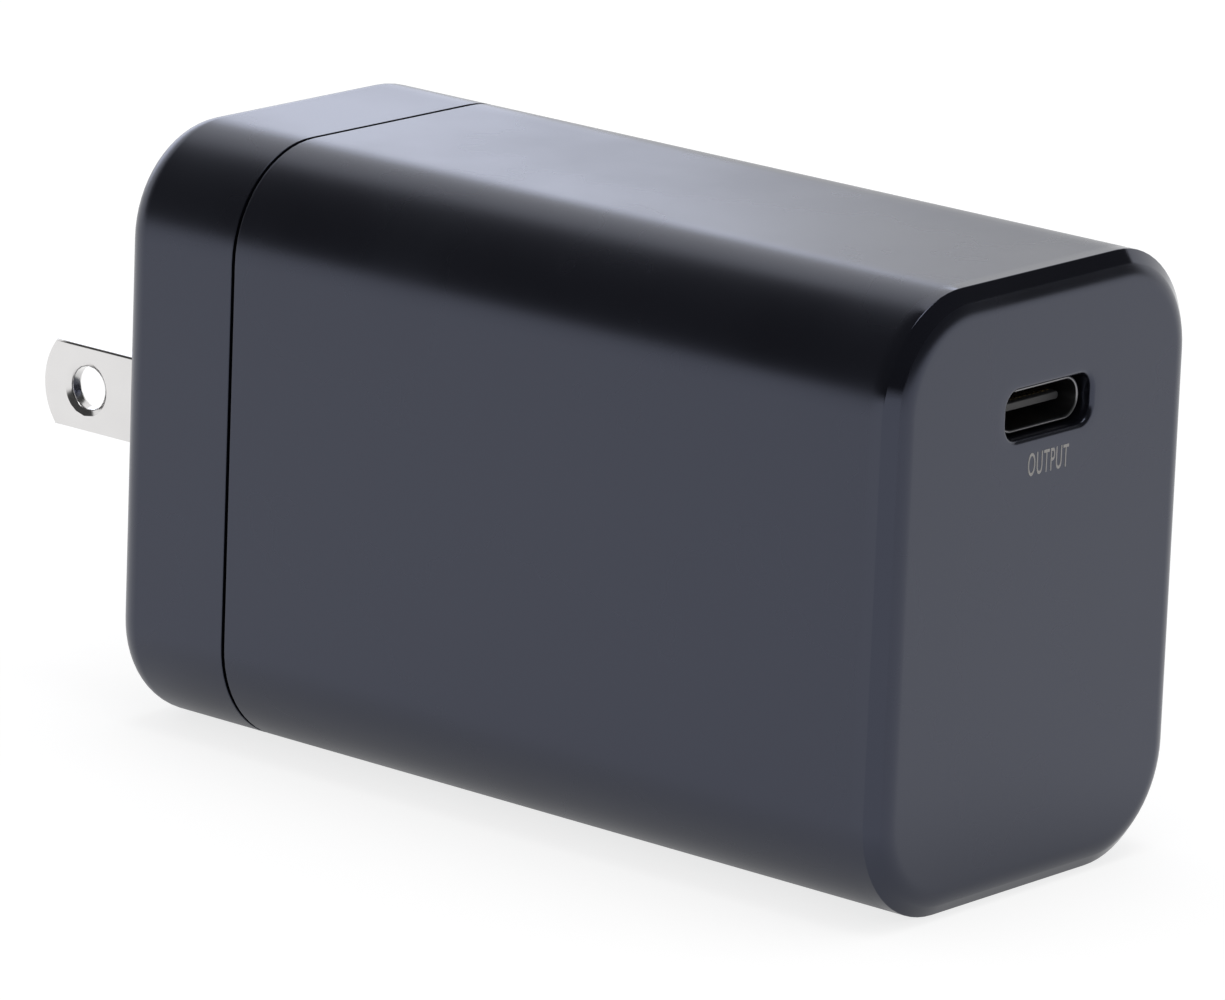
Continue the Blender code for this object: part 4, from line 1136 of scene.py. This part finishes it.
@dataclass
class Studio:
    """The floor, the backdrop, the lamps and the camera."""

    floor_z: float = -20.75 * MM
    azimuth: float = -49.78
    elevation: float = 14.80
    roll: float = 2.21
    camera_place: Point = (-472.3 * MM, -430.6 * MM, 163.2 * MM)
    lens: float = 268.4
    shift: tuple[float, float] = (0.011, -0.0078)

    def camera(self) -> None:
        """A long lens at the three-quarter view of the front and the left side."""
        data = bpy.data.cameras.new("camera")
        data.lens = self.lens
        data.sensor_width = 36.0
        data.shift_x, data.shift_y = self.shift
        data.clip_start, data.clip_end = 0.02, 20.0
        obj = bpy.data.objects.new("camera", data)
        bpy.context.scene.collection.objects.link(obj)
        az, el, roll = (math.radians(a) for a in (self.azimuth, self.elevation, self.roll))
        back = Vector((math.sin(az) * math.cos(el), -math.cos(az) * math.cos(el), math.sin(el)))
        right = (-back).cross(Vector((0, 0, 1))).normalized()
        up = right.cross(-back)
        tilted_right = right * math.cos(roll) + up * math.sin(roll)
        tilted_up = up * math.cos(roll) - right * math.sin(roll)
        turn = Matrix((tilted_right, tilted_up, back)).transposed().to_4x4()
        obj.matrix_world = Matrix.Translation(self.camera_place) @ turn
        bpy.context.scene.camera = obj

    def seen(self, sheet: NodeSheet) -> bpy.types.NodeSocket:
        """1 for camera rays, which see the background's own colour; for glossy and transmission rays the
        level of the painted contact shadow, 1 away from the object.
        """
        path = sheet.add("LightPath").outputs
        mirrored = sheet.add(
            "Math", {0: path["Is Glossy Ray"], 1: path["Is Transmission Ray"]}, operation="MAXIMUM"
        )
        # Glossy and transmission rays see the floor's glow darkened by the painted contact shadow near the
        # object.
        near = sheet.add("Math", {0: mirrored.outputs[0], 1: self.painted_contact_shadow(sheet)}, operation="MULTIPLY")
        both = sheet.add("Math", {0: path["Is Camera Ray"], 1: near.outputs[0]}, operation="MAXIMUM")
        return both.outputs[0]

    def painted_contact_shadow(self, sheet: NodeSheet) -> bpy.types.NodeSocket:
        """How bright the floor mirrors in the object, a painted shadow in its glow: low at the object's foot,
        1 away from it.

        With p the place on the floor, the distance is the length of max(|p - middle| - half, 0).
        """
        place = sheet.add("TexCoord").outputs["Object"]
        steps = [
            ("SUBTRACT", (0, -0.035, self.floor_z)),
            ("ABSOLUTE", None),
            ("SUBTRACT", (0.009, 0.030, 0)),
            ("MAXIMUM", (0, 0, 0)),
        ]
        for operation, operand in steps:
            inputs = {0: place} if operand is None else {0: place, 1: operand}
            place = sheet.add("VectorMath", inputs, operation=operation).outputs[0]
        gap = sheet.add("VectorMath", {0: place}, operation="LENGTH").outputs["Value"]
        return sheet.ramp(gap, 0.0, 0.024, 0.5, 1.0)

    def floor(self) -> None:
        """A wide pale disc that shows white and keeps the object's shadow."""
        t = np.linspace(0, 2 * math.pi, 96, endpoint=False)
        rim = np.stack([2.6 * np.cos(t), 2.6 * np.sin(t), np.full(96, self.floor_z)], axis=1)
        mesh = bpy.data.meshes.new("floor")
        mesh.from_pydata(rim.tolist(), [], [list(range(96))])
        obj = add_piece("floor", mesh)
        material = bpy.data.materials.new("floor_white")
        material.use_nodes = True
        sheet = NodeSheet(material.node_tree)
        shader = material.node_tree.nodes["Principled BSDF"]
        shader.inputs["Base Color"].default_value = (0.32, 0.32, 0.32, 1)
        shader.inputs["Roughness"].default_value = 1.0
        shader.inputs["Specular IOR Level"].default_value = 0.0
        glow = sheet.add("Emission", {"Color": (1, 1, 1, 1)})
        level = sheet.add("Math", {0: self.seen(sheet), 1: 0.78}, operation="MULTIPLY")
        sheet.tree.links.new(level.outputs[0], glow.inputs["Strength"])
        both = sheet.add("AddShader", {0: shader.outputs[0], 1: glow.outputs[0]})
        out = material.node_tree.nodes["Material Output"]
        sheet.tree.links.new(both.outputs[0], out.inputs["Surface"])
        mesh.materials.append(material)

    def world(self) -> None:
        """White to the camera; in reflections a bright horizon that stands higher at the back right."""
        world = bpy.data.worlds.new("studio")
        bpy.context.scene.world = world
        world.use_nodes = True
        sheet = NodeSheet(world.node_tree)
        background = world.node_tree.nodes["Background"]
        direction = sheet.add("TexCoord").outputs["Generated"]
        axes = sheet.add("SeparateXYZ", {0: direction}).outputs
        across = sheet.add("Math", {0: axes["X"], 1: axes["Y"]}, operation="ADD").outputs[0]
        limit = sheet.ramp(across, 0.40, 0.85, 0.05, 0.82)
        above = sheet.add("Math", {0: axes["Z"], 1: limit}, operation="SUBTRACT").outputs[0]
        band = sheet.ramp(above, -0.05, 0.08, 1.0, 0.05)
        path = sheet.add("LightPath").outputs
        glossy = sheet.add(
            "Math", {0: path["Is Glossy Ray"], 1: path["Is Transmission Ray"]}, operation="MAXIMUM"
        )
        soft = sheet.add("Mix", {0: glossy.outputs[0], 2: 0.55, 3: band}, data_type="FLOAT")
        level = sheet.add("Mix", {0: path["Is Camera Ray"], 2: soft.outputs[0], 3: 1.0}, data_type="FLOAT")
        sheet.tree.links.new(level.outputs[0], background.inputs["Strength"])
        background.inputs["Color"].default_value = (1, 1, 1, 1)

    def lamp(self, name: str, place: Point, size: tuple[float, float], power: float, colour: Colour) -> None:
        """A rectangular soft light that faces the object.

        Args:
            name: The lamp's name.
            place: Where it stands.
            size: Its width and height.
            power: Its power in watts.
            colour: The colour of its light.
        """
        data = bpy.data.lights.new(name, "AREA")
        data.shape = "RECTANGLE"
        data.size, data.size_y = size
        data.energy = power
        data.color = colour
        obj = bpy.data.objects.new(name, data)
        bpy.context.scene.collection.objects.link(obj)
        obj.location = place
        aim = Vector((0, -0.035, 0)) - Vector(place)
        obj.rotation_mode = "QUATERNION"
        obj.rotation_quaternion = aim.to_track_quat("-Z", "Y")

    def build(self) -> None:
        """Everything round the object."""
        self.camera()
        self.floor()
        self.world()
        self.lamp("back_softbox", (0.53, 0.93, 0.30), (0.9, 0.45), 1.6, (0.70, 0.77, 1.0))
        self.lamp("top_softbox", (0.05, -0.10, 1.3), (0.7, 0.7), 5.0, (1.0, 1.0, 1.0))
        bpy.context.scene.view_settings.view_transform = "Standard"


def main() -> None:
    """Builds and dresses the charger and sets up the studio."""
    logging.basicConfig(level=logging.INFO)
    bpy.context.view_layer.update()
    Studio().build()
    shell = Shell()
    prongs = FoldingProngs()
    socket = Socket()
    pieces = [shell.housing(), shell.cover(prongs), *prongs.build()]
    pieces += [socket.shell(), socket.tongue(), socket.contact_strips(), PortLabel().build()]
    Internals().build()
    for piece in pieces:
        LOG.info("%s: %d faces", piece.name, len(piece.data.polygons))


if __name__ == "__main__":
    main()
